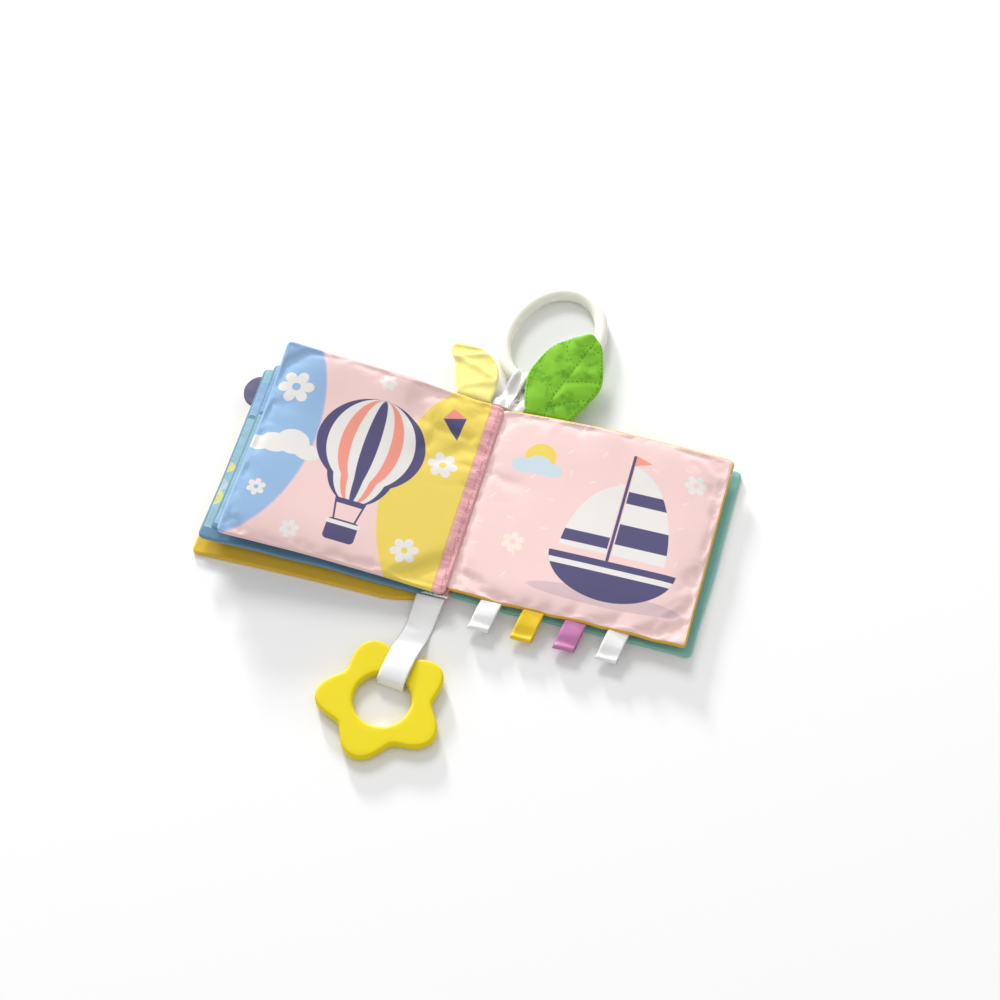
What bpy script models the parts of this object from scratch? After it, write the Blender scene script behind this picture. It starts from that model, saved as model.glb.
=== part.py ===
"""Crinkle cloth book, lying open, with a flower teether, a ring, cloth tabs and ribbon tags.

Frame: metres, +Z up, the table at z = 0. The spine runs along Y with the head of the book at +Y.
Left leaves lie towards -X and right leaves towards +X. The origin is on the table, under the
middle of the spine. Each leaf is two crowned cloths with wadding and a crinkle film between them.
"""

import math

import bmesh
import bpy
from mathutils import Matrix, Vector

# Leaves and their layers.
LEAF_LENGTH = 0.125            # from the spine to the free edge of the right leaf
LOWER_LEAF_LENGTH = 0.1285     # the left leaves step in, each over the bend of those below
MIDDLE_LEAF_LENGTH = 0.1222
TOP_LEAF_LENGTH = 0.1195
LEAF_HEIGHT = 0.118            # from foot to head
LEFT_OVERHANG = 0.0055         # covers show this much past the leaves
RIGHT_OVERHANG = 0.004
HEAD_TAPER = 0.0095            # the heads of the lower left leaves run down this much
COVER_HEAD_TAPER = 0.0125      # and that of the left cover
HEAD_LIFT = 0.005              # the top left leaf rises at its head
FOOT_DROP = 0.0022             # and hangs down at the foot of its free edge
COVER_TAPER = 0.030            # over this length from the spine the overhang grows to full
CORNER_RADIUS = 0.006
CLOTH = 0.0006                 # one cloth
SEAM = 0.0024                  # thickness of a sewn edge
SEAM_WIDTH = 0.0035            # from the edge to the topstitch
CROWN = 0.0010                 # swell of each face of a leaf over its seam
COVER_CROWN = 0.0016           # swell of a cover's upper face
EDGE_RAMP = 0.020              # where the swell dies out towards the free edges
EDGE_DRAW_IN = 0.0008          # the sides are drawn in between the corners
FILM = 0.0002
CROWN_START_share = 0.5        # of a leaf's length, where the swell is full
ROOT_STEP_shares = (0.15, 0.5)
TAPER_START_share = 0.5        # of a leaf's length, where its head starts to run down
LIFT_START_share = 0.08
LIFT_FULL_share = 0.5

# Clearances.
FIT_GAP = 0.0003
LAYER_GAP = 0.00025
ROOT_GAP = 0.0006
FLAP_GAP = 0.0008              # between a leaf's edge and a tab's or tag's root
FLOOR_GAP = 0.00005

# Spine.
SPINE_HALF_WIDTH = 0.0016
SPINE_ROUNDING = 0.0008
HINGE_LIFT = 0.0004            # the gutter's fold line above the top leaf's root

# Flower teether.
TEETHER_TIP_RADIUS = 0.0333
TEETHER_NOTCH_RADIUS = 0.0247
TEETHER_HOLE_RADIUS = 0.0144
TEETHER_THICKNESS = 0.006
TEETHER_ROUNDING = 0.0016
TEETHER_CENTRE_X = -0.0132
TEETHER_CLEARANCE = 0.0282     # from the foot of the spine to a petal turned to it
PETALS = 5
PETAL_TURN = math.radians(45.3)
PETAL_FULLNESS_share = 0.8

# Ribbon that holds the teether.
RIBBON = 0.0008
RIBBON_WIDTH = 0.015
RIBBON_ROOT_X = -0.006
RIBBON_ROOT_HEIGHT = 0.0060
RIBBON_DROP = 0.016
RIBBON_LAP = 0.004
RIBBON_PLAY = 0.0020           # between the ribbon and the edge of the hole
RIBBON_LOOP_WIDTH = 0.014

# Ring and its strap.
RING_LENGTH = 0.0738
RING_WIDTH = 0.0556
RING_TUBE = 0.0075
RING_CENTRE_X = 0.0133
RING_FROM_HEAD = 0.0529         # its centre, from the head of the spine
RING_TURN = math.radians(77.7)
STRAP_WIDTH = 0.015
STRAP_LOOP_WIDTH = 0.007
STRAP_ROOT_X = 0.0015
STRAP_ROOT_HEIGHT = 0.0085
STRAP_DROP = 0.0135
STRAP_LAP = 0.004
STRAP_PLAY = 0.0009

# Green leaf tab at the head of the right leaf.
GREEN_LENGTH = 0.0501
GREEN_HALF_WIDTH = 0.0195
GREEN_ROOT_X = 0.0232
GREEN_LEAN = math.radians(12.6)
GREEN_RISE = math.radians(13)
GREEN_CAMBER = 0.0016
GREEN_WIDTH_shares = (0.62, 0.87, 1.02, 0.91, 0.73, 0.47, 0.21, 0.08)
GREEN_SHIFT_shares = (0.0, -0.03, -0.05, -0.09, -0.11, -0.03, 0.01, 0.0)

# Pale tab at the head of the top left leaf.
PALE_LENGTH = 0.0356
PALE_HALF_WIDTH = 0.0124
PALE_ROOT_X = -0.0171
PALE_RISE = math.radians(-9)
PALE_CAMBER = 0.0006
PALE_WIDTH_shares = (0.73, 0.90, 0.98, 1.0, 0.70, 0.27)
PALE_SHIFT_shares = (0.0, -0.12, -0.29, -0.61, -0.86, -0.93)

# Round tab on the free edge of the lowest left leaf.
ROUND_RADIUS = 0.0098
ROUND_REACH = 0.0056
ROUND_Y_share = 0.70           # of half the height of a leaf
ROUND_CAMBER = 0.0002

# Layers of the tabs.
TAB_CLOTH = 0.0005
TAB_FILM_share = 0.976         # of the width of the cloths

# Ribbon loop tags at the foot of the right leaf.
TAG_RIBBON = 0.0005
TAG_WIDTH = 0.011
TAG_LENGTH = 0.0125
TAG_FOLD_RADIUS = 0.0011
TAG_LEAN = 0.003
TAG_DROOP = math.radians(14)
TAG_FIRST_X = 0.0244
TAG_SPACING = 0.0219

HALF = 0.5
ALMOST_NONE_share = 0.02

COLOURS = {
    "mustard": (0.60, 0.38, 0.03), "blue": (0.33, 0.51, 0.75), "slate": (0.12, 0.24, 0.36),
    "light_teal": (0.38, 0.64, 0.70), "page": (0.89, 0.62, 0.60), "yellow": (0.90, 0.70, 0.14),
    "teal": (0.20, 0.50, 0.44), "pink": (0.91, 0.64, 0.63), "wadding": (0.85, 0.85, 0.83),
    "film": (0.78, 0.80, 0.82), "ribbon": (0.86, 0.85, 0.84), "ivory": (0.87, 0.85, 0.80),
    "teether": (0.86, 0.72, 0.01), "green": (0.18, 0.53, 0.03), "pale": (0.94, 0.85, 0.26),
    "violet": (0.11, 0.09, 0.19), "tag_yellow": (0.91, 0.62, 0.0), "mauve": (0.55, 0.19, 0.42),
}
ROUGHNESS_shares = {
    "film": 0.25, "ribbon": 0.35, "tag_yellow": 0.4, "mauve": 0.4, "ivory": 0.3, "teether": 0.35,
}
CLOTH_ROUGHNESS_share = 0.9


def material(name):
    """The Principled material of one colour name, made once."""
    found = bpy.data.materials.get(name)
    if found:
        return found
    made = bpy.data.materials.new(name)
    made.use_nodes = True
    shader = made.node_tree.nodes["Principled BSDF"]
    shader.inputs["Base Color"].default_value = (*COLOURS[name], 1.0)
    shader.inputs["Roughness"].default_value = ROUGHNESS_shares.get(name, CLOTH_ROUGHNESS_share)
    shader.inputs["Metallic"].default_value = 0.0
    return made


def hinge(name, location, rotation=None, parent=None):
    """An empty on a joint's axis, placed in world space, that moving pieces are parented to."""
    empty = bpy.data.objects.new(name, None)
    bpy.context.collection.objects.link(empty)
    place = Matrix.Translation(Vector(location)) @ (rotation or Matrix())
    empty.matrix_world = place
    if parent:
        empty.parent = parent
        empty.matrix_parent_inverse = world_of(parent).inverted()
    return empty


def world_of(item):
    """The world matrix of a hinge, worked out from its parents, before Blender updates the scene."""
    own = item.matrix_basis
    return world_of(item.parent) @ item.matrix_parent_inverse @ own if item.parent else own


def add_piece(name, mesh_data, colour, parent=None, place=None):
    """One named object: a closed mesh with outward faces, its material, and its place in the world."""
    bmesh.ops.recalc_face_normals(mesh_data, faces=mesh_data.faces)
    mesh = bpy.data.meshes.new(name)
    mesh_data.to_mesh(mesh)
    mesh_data.free()
    mesh.shade_smooth()
    mesh.set_sharp_from_angle(angle=math.radians(40))
    mesh.materials.append(material(colour))
    piece = bpy.data.objects.new(name, mesh)
    bpy.context.collection.objects.link(piece)
    piece.matrix_basis = place or Matrix()
    if parent:
        piece.parent = parent
        piece.matrix_parent_inverse = world_of(parent).inverted()
    return piece


def sheet_mesh(lower, upper):
    """A closed sheet between two grids of points with the same rows and columns."""
    mesh_data = bmesh.new()
    rows, columns = len(lower), len(lower[0])
    low = [[mesh_data.verts.new(point) for point in row] for row in lower]
    high = [[mesh_data.verts.new(point) for point in row] for row in upper]
    for i in range(rows - 1):
        for j in range(columns - 1):
            mesh_data.faces.new((low[i][j], low[i + 1][j], low[i + 1][j + 1], low[i][j + 1]))
            mesh_data.faces.new((high[i][j], high[i][j + 1], high[i + 1][j + 1], high[i + 1][j]))
    rim = [(i, 0) for i in range(rows)] + [(rows - 1, j) for j in range(1, columns)]
    rim += [(i, columns - 1) for i in range(rows - 2, -1, -1)] + [(0, j) for j in range(columns - 2, 0, -1)]
    for (i, j), (k, m) in zip(rim, rim[1:] + rim[:1]):
        mesh_data.faces.new((low[i][j], high[i][j], high[k][m], low[k][m]))
    return mesh_data


def ease(share):
    """Goes smoothly from 0 at 0 to 1 at 1, and stays there on either side."""
    held = min(max(share, 0), 1)
    return held * held * (3 - 2 * held)


class Leaf:
    """One leaf or cover: its outline and swell, and where its root and slope put it.

    A cover has an overhang, a lower left leaf a head taper, and the top left leaf a lift.
    """

    def __init__(self, side, root_x, root_height, slope, length=LEAF_LENGTH, overhang=0, head_taper=0,
                 head_lift=0, foot_drop=0):
        self.side = side
        self.overhang = overhang
        self.length = length + overhang
        self.half_height = HALF * LEAF_HEIGHT + overhang
        self.head_taper = head_taper
        self.head_lift = head_lift
        self.foot_drop = foot_drop
        self.under_crown = 0 if overhang else CROWN
        self.over_crown = COVER_CROWN if overhang else CROWN
        self.root_x = root_x
        self.root_height = root_height
        self.slope = slope
        full = CROWN_START_share * LEAF_LENGTH
        ramp_end = self.length - SEAM_WIDTH
        self.u_stops = [0, SEAM_WIDTH] + [full * share for share in ROOT_STEP_shares] + [full]
        self.u_stops += [HALF * (full + ramp_end - EDGE_RAMP), ramp_end - EDGE_RAMP,
                         ramp_end - HALF * EDGE_RAMP, ramp_end, self.length]
        inner = self.half_height - SEAM_WIDTH
        side_stops = [inner - EDGE_RAMP, inner - HALF * EDGE_RAMP, inner, self.half_height]
        self.v_stops = [-stop for stop in reversed(side_stops)] + [0] + side_stops

    def place(self):
        """Leaf space has u along X from the root, Y along the spine and Z square to the leaf."""
        lift = Matrix.Rotation(self.side * self.slope * -1, 4, "Y")
        return Matrix.Translation((self.side * self.root_x, 0, self.root_height)) @ lift

    def swell(self, u, v):
        """0 on the seams and 1 over the full part; a straight ramp at the root, rounded elsewhere."""
        full = CROWN_START_share * LEAF_LENGTH
        root = min(max((u - SEAM_WIDTH) / (full - SEAM_WIDTH), 0), 1)
        free = min(max((self.length - SEAM_WIDTH - u) / EDGE_RAMP, 0), 1)
        end = min(max((self.half_height - SEAM_WIDTH - abs(v)) / EDGE_RAMP, 0), 1)
        return root * math.sin(HALF * math.pi * free) * math.sin(HALF * math.pi * end)

    def outline(self, u, v):
        """Rounds the corners of the square grid and draws the sides in between them."""
        near_end = u if u < HALF * self.length else self.length - u
        a = CORNER_RADIUS - near_end
        b = CORNER_RADIUS - (self.half_height - abs(v))
        if a > 0 and b > 0:
            round_a = a * math.sqrt(1 - b * b / (2 * CORNER_RADIUS * CORNER_RADIUS))
            round_b = b * math.sqrt(1 - a * a / (2 * CORNER_RADIUS * CORNER_RADIUS))
            near_end = CORNER_RADIUS - round_a
            v = math.copysign(self.half_height - CORNER_RADIUS + round_b, v)
            u = near_end if u < HALF * self.length else self.length - near_end
        v *= 1 - self.overhang / self.half_height * (1 - ease(u / COVER_TAPER))
        if v > 0:
            along = (u / self.length - TAPER_START_share) / (1 - TAPER_START_share)
            v *= 1 - self.head_taper / self.half_height * ease(along)
        along = u / self.length
        across = v / self.half_height
        v -= across * EDGE_DRAW_IN * math.sin(math.pi * along)
        u -= along * EDGE_DRAW_IN * math.cos(HALF * math.pi * across)
        return self.side * u, v

    def lift(self, u, v):
        """How far the middle of the leaf leaves its plane: up at the head, down at the foot."""
        across = v / self.half_height
        if v > 0:
            along = (u / self.length - LIFT_START_share) / (LIFT_FULL_share - LIFT_START_share)
            return self.head_lift * across * across * ease(along)
        along = (u / self.length - LIFT_FULL_share) / (1 - LIFT_FULL_share)
        return -self.foot_drop * across * across * ease(along)

    def edge_seat(self, u, v):
        """The world place of a point of the outline, in the middle of the leaf's thickness."""
        return self.place() @ Vector((*self.outline(u, v), self.lift(u, v)))

    def heights(self, i, j, inside):
        """Distances of the lower and upper cloths' outer or inner faces from the middle of the leaf."""
        swell = self.swell(self.u_stops[i], self.v_stops[j])
        under = HALF * SEAM + self.under_crown * swell
        over = HALF * SEAM + self.over_crown * swell
        if not inside:
            return under, over
        on_seam = min(i, len(self.u_stops) - 1 - i, j, len(self.v_stops) - 1 - j) < 2
        flat = HALF * FIT_GAP
        return (flat, flat) if on_seam else (under - CLOTH, over - CLOTH)

    def grid(self, height, rows, columns):
        """Points over the chosen stops, with height(i, j) square to the leaf."""
        rings = []
        for i in rows:
            spots = [(self.u_stops[i], self.v_stops[j], height(i, j)) for j in columns]
            rings.append([(*self.outline(u, v), self.lift(u, v) + z) for u, v, z in spots])
        return rings


def add_leaf(name, leaf, colours, parent=None):
    """The four layers of a leaf: face cloth, back cloth, wadding and crinkle film."""
    rows, columns = range(len(leaf.u_stops)), range(len(leaf.v_stops))
    filled_rows, filled_columns = rows[2:-2], columns[2:-2]

    def under(i, j):
        return -leaf.heights(i, j, inside=True)[0]

    def over(i, j):
        return leaf.heights(i, j, inside=True)[1]

    def film_base(i, j):
        return under(i, j) + LAYER_GAP

    def film_top(i, j):
        return film_base(i, j) + FILM

    layers = {
        "face_cloth": (over, lambda i, j: leaf.heights(i, j, inside=False)[1], rows, columns),
        "back_cloth": (lambda i, j: -leaf.heights(i, j, inside=False)[0], under, rows, columns),
        "film": (film_base, film_top, filled_rows, filled_columns),
        "wadding": (lambda i, j: film_top(i, j) + LAYER_GAP, lambda i, j: over(i, j) - LAYER_GAP,
                    filled_rows, filled_columns),
    }
    colour_of = {"face_cloth": colours[0], "back_cloth": colours[1], "film": "film", "wadding": "wadding"}
    for layer, (low, high, used_rows, used_columns) in layers.items():
        mesh_data = sheet_mesh(*(leaf.grid(height, used_rows, used_columns) for height in (low, high)))
        add_piece(f"{name}_{layer}", mesh_data, colour_of[layer], parent, leaf.place())


def add_spine(height):
    """The sewn strip between the leaves' roots, with its upper edges rounded."""
    outline = [(SPINE_HALF_WIDTH, 0), (SPINE_HALF_WIDTH, height - SPINE_ROUNDING)]
    outline += [(SPINE_HALF_WIDTH - SPINE_ROUNDING, height)]
    outline += [(-x, z) for x, z in reversed(outline)]
    mesh_data = bmesh.new()
    bottom = [mesh_data.verts.new((x, -HALF * LEAF_HEIGHT, z)) for x, z in outline]
    strip = bmesh.ops.extrude_face_region(mesh_data, geom=[mesh_data.faces.new(bottom)])
    moved = [item for item in strip["geom"] if isinstance(item, bmesh.types.BMVert)]
    bmesh.ops.translate(mesh_data, verts=moved, vec=(0, LEAF_HEIGHT, 0))
    return add_piece("spine_strip", mesh_data, "slate")


def drop_profile(root_height, drop, thickness):
    """Side view of a ribbon, as (distance, height), that comes down from its sewn root to the table."""
    base = FLOOR_GAP + HALF * thickness
    steps = 7
    return [(drop * k / steps, base + (root_height - base) * (HALF + HALF * math.cos(math.pi * k / steps)))
            for k in range(steps + 1)]


def loop_profile(start, near, far, radius, lap, thickness):
    """Side view of a ribbon that runs on the table from start, round a rim and back over itself."""
    base = FLOOR_GAP + HALF * thickness
    centre = base + radius
    steps = 6
    path = [(start, base)] if start is not None else []
    path += [(far, base)]
    turns = 9
    path += [(far + radius * math.sin(math.pi * k / turns), centre - radius * math.cos(math.pi * k / turns))
             for k in range(1, turns + 1)]
    landing = base + thickness + LAYER_GAP
    reach = 2 * radius
    if far > near:
        path.append((near, centre + radius))
    fall = centre + radius - landing
    path += [(near - reach * k / steps, landing + fall * (HALF + HALF * math.cos(math.pi * k / steps)))
             for k in range(1, steps + 1)]
    path.append((near - reach - lap, landing))
    return path


def ribbon_mesh(path, placed, width_at, cross_at, thickness):
    """A closed band along a side-view path; placed() puts each point and cross_at() sets its width line."""
    rings = []
    for k, (along, height) in enumerate(path):
        before, after = path[max(k - 1, 0)], path[min(k + 1, len(path) - 1)]
        run = Vector((after[0] - before[0], after[1] - before[1])).normalized()
        offset = HALF * thickness
        corners = []
        for sign in (-1, 1):
            x, y = placed(along - sign * offset * run.y)
            across = cross_at(along) * HALF * width_at(along)
            z = height + sign * offset * run.x
            corners.append([(x - across.x, y - across.y, z), (x + across.x, y + across.y, z)])
        rings.append(corners)
    lower = [ring[0] for ring in rings]
    upper = [ring[1] for ring in rings]
    return sheet_mesh(lower, upper)


def add_looped_ribbon(name, colour, parent, root, rim, heading, path, widths, thickness):
    """A ribbon sewn at its root that runs to a rim, turns to the rim's heading and loops round it."""
    root, rim = Vector(root), Vector(rim)
    straight = (rim - root).normalized()
    reach = (rim - root).length
    ahead = Vector((math.cos(heading), math.sin(heading)))
    last_cross = Vector((math.sin(heading), -math.cos(heading)))
    first_cross = Vector((math.copysign(1, last_cross.x), 0))

    def placed(along):
        point = root + straight * along if along < reach else rim + ahead * (along - reach)
        return point.x, point.y

    def share(along):
        return min(max(along / reach, 0), 1)

    mesh_data = ribbon_mesh(path, placed, lambda s: widths[0] + (widths[1] - widths[0]) * share(s),
                            lambda s: first_cross.lerp(last_cross, share(s)).normalized(), thickness)
    return add_piece(name, mesh_data, colour, parent)


def ring_mesh():
    """An oval ring of round tube, its long axis along X and its near end at the origin."""
    mesh_data = bmesh.new()
    stations, sides = 40, 10
    tube = HALF * RING_TUBE
    long_axis, short_axis = HALF * RING_LENGTH - tube, HALF * RING_WIDTH - tube
    rings = []
    for k in range(stations):
        turn = 2 * math.pi * k / stations
        centre = Vector((long_axis * (1 - math.cos(turn)), -short_axis * math.sin(turn), 0))
        outward = Vector((-math.cos(turn) / long_axis, -math.sin(turn) / short_axis, 0)).normalized()
        ring = []
        for m in range(sides):
            angle = 2 * math.pi * m / sides
            ring.append(mesh_data.verts.new(centre + outward * tube * math.cos(angle)
                                            + Vector((0, 0, tube * math.sin(angle)))))
        rings.append(ring)
    for ring, following in zip(rings, rings[1:] + rings[:1]):
        for m in range(sides):
            n = (m + 1) % sides
            mesh_data.faces.new((ring[m], ring[n], following[n], following[m]))
    return mesh_data


def petal_radius(angle):
    """The flower's outline: rounded petals with soft notches between them."""
    lobe = (HALF + HALF * math.cos(PETALS * angle)) ** PETAL_FULLNESS_share
    return TEETHER_NOTCH_RADIUS + (TEETHER_TIP_RADIUS - TEETHER_NOTCH_RADIUS) * lobe


def teether_mesh():
    """A flat flower with a round hole, every edge rounded, centred on the origin."""
    mesh_data = bmesh.new()
    stations = 60
    rounding = TEETHER_ROUNDING
    half = HALF * TEETHER_THICKNESS
    bevel = [(rounding * (1 - math.cos(turn)), half - rounding * (1 - math.sin(turn)))
             for turn in (0, math.radians(45), math.radians(90))]
    outer = [(-inset, height) for inset, height in bevel]
    profile = [(inset, -height) for inset, height in reversed(outer)] + outer
    loops = []
    for k in range(stations):
        angle = 2 * math.pi * k / stations
        direction = Vector((math.cos(angle), math.sin(angle), 0))
        edge, hole = petal_radius(angle), TEETHER_HOLE_RADIUS
        around = [direction * (edge + inset) + Vector((0, 0, height)) for inset, height in profile]
        around += [direction * (hole - inset) + Vector((0, 0, height)) for inset, height in reversed(profile)]
        loops.append([mesh_data.verts.new(point) for point in around])
    count = len(loops[0])
    for loop, following in zip(loops, loops[1:] + loops[:1]):
        for m in range(count):
            n = (m + 1) % count
            mesh_data.faces.new((loop[m], following[m], following[n], loop[n]))
    return mesh_data


def tab_grids(length, half_width, width_shares, shift_shares, lean, rise, camber, low, high):
    """Two grids of a cloth tab that grows along +Y from its sewn root, cambered across its width."""
    across = (-1, -HALF, 0, HALF, 1)
    rows = []
    for k, (width, shift) in enumerate(zip(width_shares, shift_shares)):
        out = length * math.sin(HALF * math.pi * k / (len(width_shares) - 1))
        centre = out * math.tan(lean) + half_width * shift
        row = []
        for s in across:
            arch = camber * (1 - s * s) * min(k, 1)
            row.append((centre + half_width * width * s, out, out * math.tan(rise) + arch))
        rows.append(row)
    lower = [[(x, y, z + low) for x, y, z in row] for row in rows]
    upper = [[(x, y, z + high) for x, y, z in row] for row in rows]
    return lower, upper


def add_tab(name, colour, parent, place, shape, with_film):
    """A tab of two cloths, with a crinkle film between them or none."""
    inside = HALF * FILM + LAYER_GAP if with_film else HALF * LAYER_GAP
    layers = {"face_cloth": (inside, inside + TAB_CLOTH), "back_cloth": (-inside - TAB_CLOTH, -inside)}
    for layer, (low, high) in layers.items():
        add_piece(f"{name}_{layer}", sheet_mesh(*tab_grids(*shape, low, high)), colour, parent, place)
    if with_film:
        length, half_width, widths, shifts, *rest = shape
        film_shape = (length, half_width, [share * TAB_FILM_share for share in widths], shifts, *rest)
        film = sheet_mesh(*tab_grids(*film_shape, -HALF * FILM, HALF * FILM))
        add_piece(f"{name}_film", film, "film", parent, place)


def round_tab_shape():
    """Width shares of a half-round tab, row by row from its root to its crown."""
    rows = 6
    turns = [HALF * math.pi * k / (rows - 1) for k in range(rows)]
    shares = [max(math.cos(turn), ALMOST_NONE_share) for turn in turns]
    return ROUND_REACH, ROUND_RADIUS, shares, [0] * rows, 0, 0, ROUND_CAMBER


def tag_mesh():
    """A folded ribbon loop that grows along -Y from its sewn root, with a soft fold at its tip."""
    fold = TAG_FOLD_RADIUS
    pinch = HALF * (TAG_RIBBON + LAYER_GAP)
    bend = TAG_LENGTH - fold - HALF * TAG_RIBBON
    turns = 6
    path = [(0, -pinch), (HALF * bend, -HALF * (pinch + fold)), (bend, -fold)]
    path += [(bend + fold * math.sin(math.pi * k / turns), -fold * math.cos(math.pi * k / turns))
             for k in range(1, turns)]
    path += [(bend, fold), (HALF * bend, HALF * (pinch + fold)), (0, pinch)]

    def placed(along):
        return -TAG_LEAN * along / TAG_LENGTH, -along

    return ribbon_mesh(path, placed, lambda s: TAG_WIDTH, lambda s: Vector((1, 0)), TAG_RIBBON)


def main():
    for item in list(bpy.data.objects):
        bpy.data.objects.remove(item)

    pitch = SEAM + FIT_GAP
    first_root = HALF * SEAM
    full = CROWN_START_share * LEAF_LENGTH
    side_root = SPINE_HALF_WIDTH + ROOT_GAP
    top_root = HALF * ROOT_GAP
    over_cover = math.atan((COVER_CROWN + CROWN) / full)
    over_leaf = math.atan(2 * CROWN / full)

    left_cover = Leaf(-1, side_root, first_root, 0, overhang=LEFT_OVERHANG, head_taper=COVER_HEAD_TAPER)
    left_1 = Leaf(-1, side_root, first_root + pitch, over_cover, LOWER_LEAF_LENGTH, head_taper=HEAD_TAPER)
    left_2 = Leaf(-1, side_root, first_root + 2 * pitch, over_cover + over_leaf, MIDDLE_LEAF_LENGTH,
                  head_taper=HEAD_TAPER)
    left_3 = Leaf(-1, top_root, first_root + 3 * pitch, over_cover + 2 * over_leaf, TOP_LEAF_LENGTH,
                  head_lift=HEAD_LIFT, foot_drop=FOOT_DROP)
    right_cover = Leaf(1, side_root, first_root, 0, overhang=RIGHT_OVERHANG)
    gutter_height = left_3.root_height + HINGE_LIFT
    right_root = 2 * gutter_height - left_3.root_height - pitch
    over_right = SEAM + COVER_CROWN + FIT_GAP + HALF * SEAM + CROWN - right_root
    right_1 = Leaf(1, top_root, right_root, math.atan(max(over_right, 0) / full))

    gutter = (0, 0, gutter_height)
    hinge_1 = hinge("left_leaf_1_hinge", gutter)
    hinge_2 = hinge("left_leaf_2_hinge", gutter, parent=hinge_1)
    hinge_3 = hinge("left_leaf_3_hinge", gutter, parent=hinge_2)
    right_hinge = hinge("right_leaf_hinge", gutter)
    cover_hinge = hinge("right_cover_hinge", (0, 0, 0), parent=right_hinge)

    add_spine(right_root - HALF * SEAM - FIT_GAP)
    add_leaf("left_cover", left_cover, ("mustard", "mustard"))
    add_leaf("left_leaf_1", left_1, ("light_teal", "blue"), hinge_1)
    add_leaf("left_leaf_2", left_2, ("light_teal", "light_teal"), hinge_2)
    add_leaf("left_leaf_3", left_3, ("page", "blue"), hinge_3)
    add_leaf("right_leaf", right_1, ("pink", "yellow"), right_hinge)
    add_leaf("right_cover", right_cover, ("teal", "teal"), cover_hinge)

    head = HALF * LEAF_HEIGHT + FIT_GAP

    ring_heading = RING_TURN
    tube = HALF * RING_TUBE
    ahead = Vector((math.cos(ring_heading), math.sin(ring_heading)))
    ring_near = Vector((RING_CENTRE_X, head + RING_FROM_HEAD)) - ahead * (HALF * RING_LENGTH - tube)
    strap_root = Vector((STRAP_ROOT_X, head))
    strap_reach = (ring_near - strap_root).length
    strap_radius = tube + STRAP_PLAY + HALF * RIBBON
    ring_height = FLOOR_GAP + HALF * RIBBON + strap_radius
    strap_hinge = hinge("ring_strap_hinge", (STRAP_ROOT_X, head, STRAP_ROOT_HEIGHT))
    strap_path = drop_profile(STRAP_ROOT_HEIGHT, STRAP_DROP, RIBBON)
    strap_path += loop_profile(None, strap_reach, strap_reach, strap_radius, STRAP_LAP, RIBBON)
    add_looped_ribbon("ring_strap", "ribbon", strap_hinge, strap_root, ring_near, ring_heading, strap_path,
                      (STRAP_WIDTH, STRAP_LOOP_WIDTH), RIBBON)
    ring_tilt = math.asin((ring_height - tube - FLOOR_GAP) / (RING_LENGTH - RING_TUBE))
    ring_place = Matrix.Rotation(ring_heading, 4, "Z") @ Matrix.Rotation(ring_tilt, 4, "Y")
    ring_hinge = hinge("ring_hinge", (*ring_near, ring_height), ring_place, parent=strap_hinge)
    ring_seat = Matrix.Translation((*ring_near, ring_height)) @ ring_place
    add_piece("ring", ring_mesh(), "ivory", ring_hinge, ring_seat)

    petal_gap = PETAL_TURN + math.pi / PETALS
    outward = Vector((math.cos(petal_gap), math.sin(petal_gap)))
    rim_radius = HALF * (TEETHER_HOLE_RADIUS + TEETHER_NOTCH_RADIUS)
    teether_y = -head - TEETHER_CLEARANCE - TEETHER_TIP_RADIUS
    rim = Vector((TEETHER_CENTRE_X, teether_y)) + outward * rim_radius
    ribbon_root = Vector((RIBBON_ROOT_X, -head))
    ribbon_reach = (rim - ribbon_root).length
    half_thick = HALF * TEETHER_THICKNESS
    ribbon_radius = half_thick + FIT_GAP + HALF * RIBBON
    teether_height = FLOOR_GAP + HALF * RIBBON + ribbon_radius
    rim_half = HALF * (TEETHER_NOTCH_RADIUS - TEETHER_HOLE_RADIUS)
    petal_flank = TEETHER_TIP_RADIUS - rim_radius
    ribbon_hinge = hinge("teether_ribbon_hinge", (RIBBON_ROOT_X, -head, RIBBON_ROOT_HEIGHT))
    ribbon_end = RIBBON_DROP + FIT_GAP
    loop_path = loop_profile(ribbon_end, ribbon_reach - petal_flank,
                             ribbon_reach + rim_half + RIBBON_PLAY - ribbon_radius + RIBBON + half_thick,
                             ribbon_radius, RIBBON_LAP, RIBBON)
    ribbon_line = (ribbon_root, rim, petal_gap + math.pi)
    ribbon_widths = (RIBBON_WIDTH, RIBBON_LOOP_WIDTH)
    add_looped_ribbon("teether_ribbon", "ribbon", ribbon_hinge, *ribbon_line,
                      drop_profile(RIBBON_ROOT_HEIGHT, RIBBON_DROP, RIBBON), ribbon_widths, RIBBON)
    bend = ribbon_root.lerp(rim, (ribbon_end - HALF * FIT_GAP) / ribbon_reach)
    teether_hinge = hinge("teether_hinge", (*bend, FLOOR_GAP + HALF * RIBBON), parent=ribbon_hinge)
    add_looped_ribbon("teether_ribbon_loop", "ribbon", teether_hinge, *ribbon_line, loop_path,
                      ribbon_widths, RIBBON)
    teether_tilt = math.asin((teether_height - half_thick - FLOOR_GAP) / (rim_radius + TEETHER_TIP_RADIUS))
    heading = Matrix.Rotation(petal_gap, 4, "Z")
    tilted = Matrix.Translation((*rim, teether_height)) @ heading @ Matrix.Rotation(-teether_tilt, 4, "Y")
    to_centre = Matrix.Translation((-rim_radius, 0, 0)) @ Matrix.Rotation(-math.pi / PETALS, 4, "Z")
    add_piece("teether", teether_mesh(), "teether", teether_hinge, tilted @ to_centre)

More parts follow.
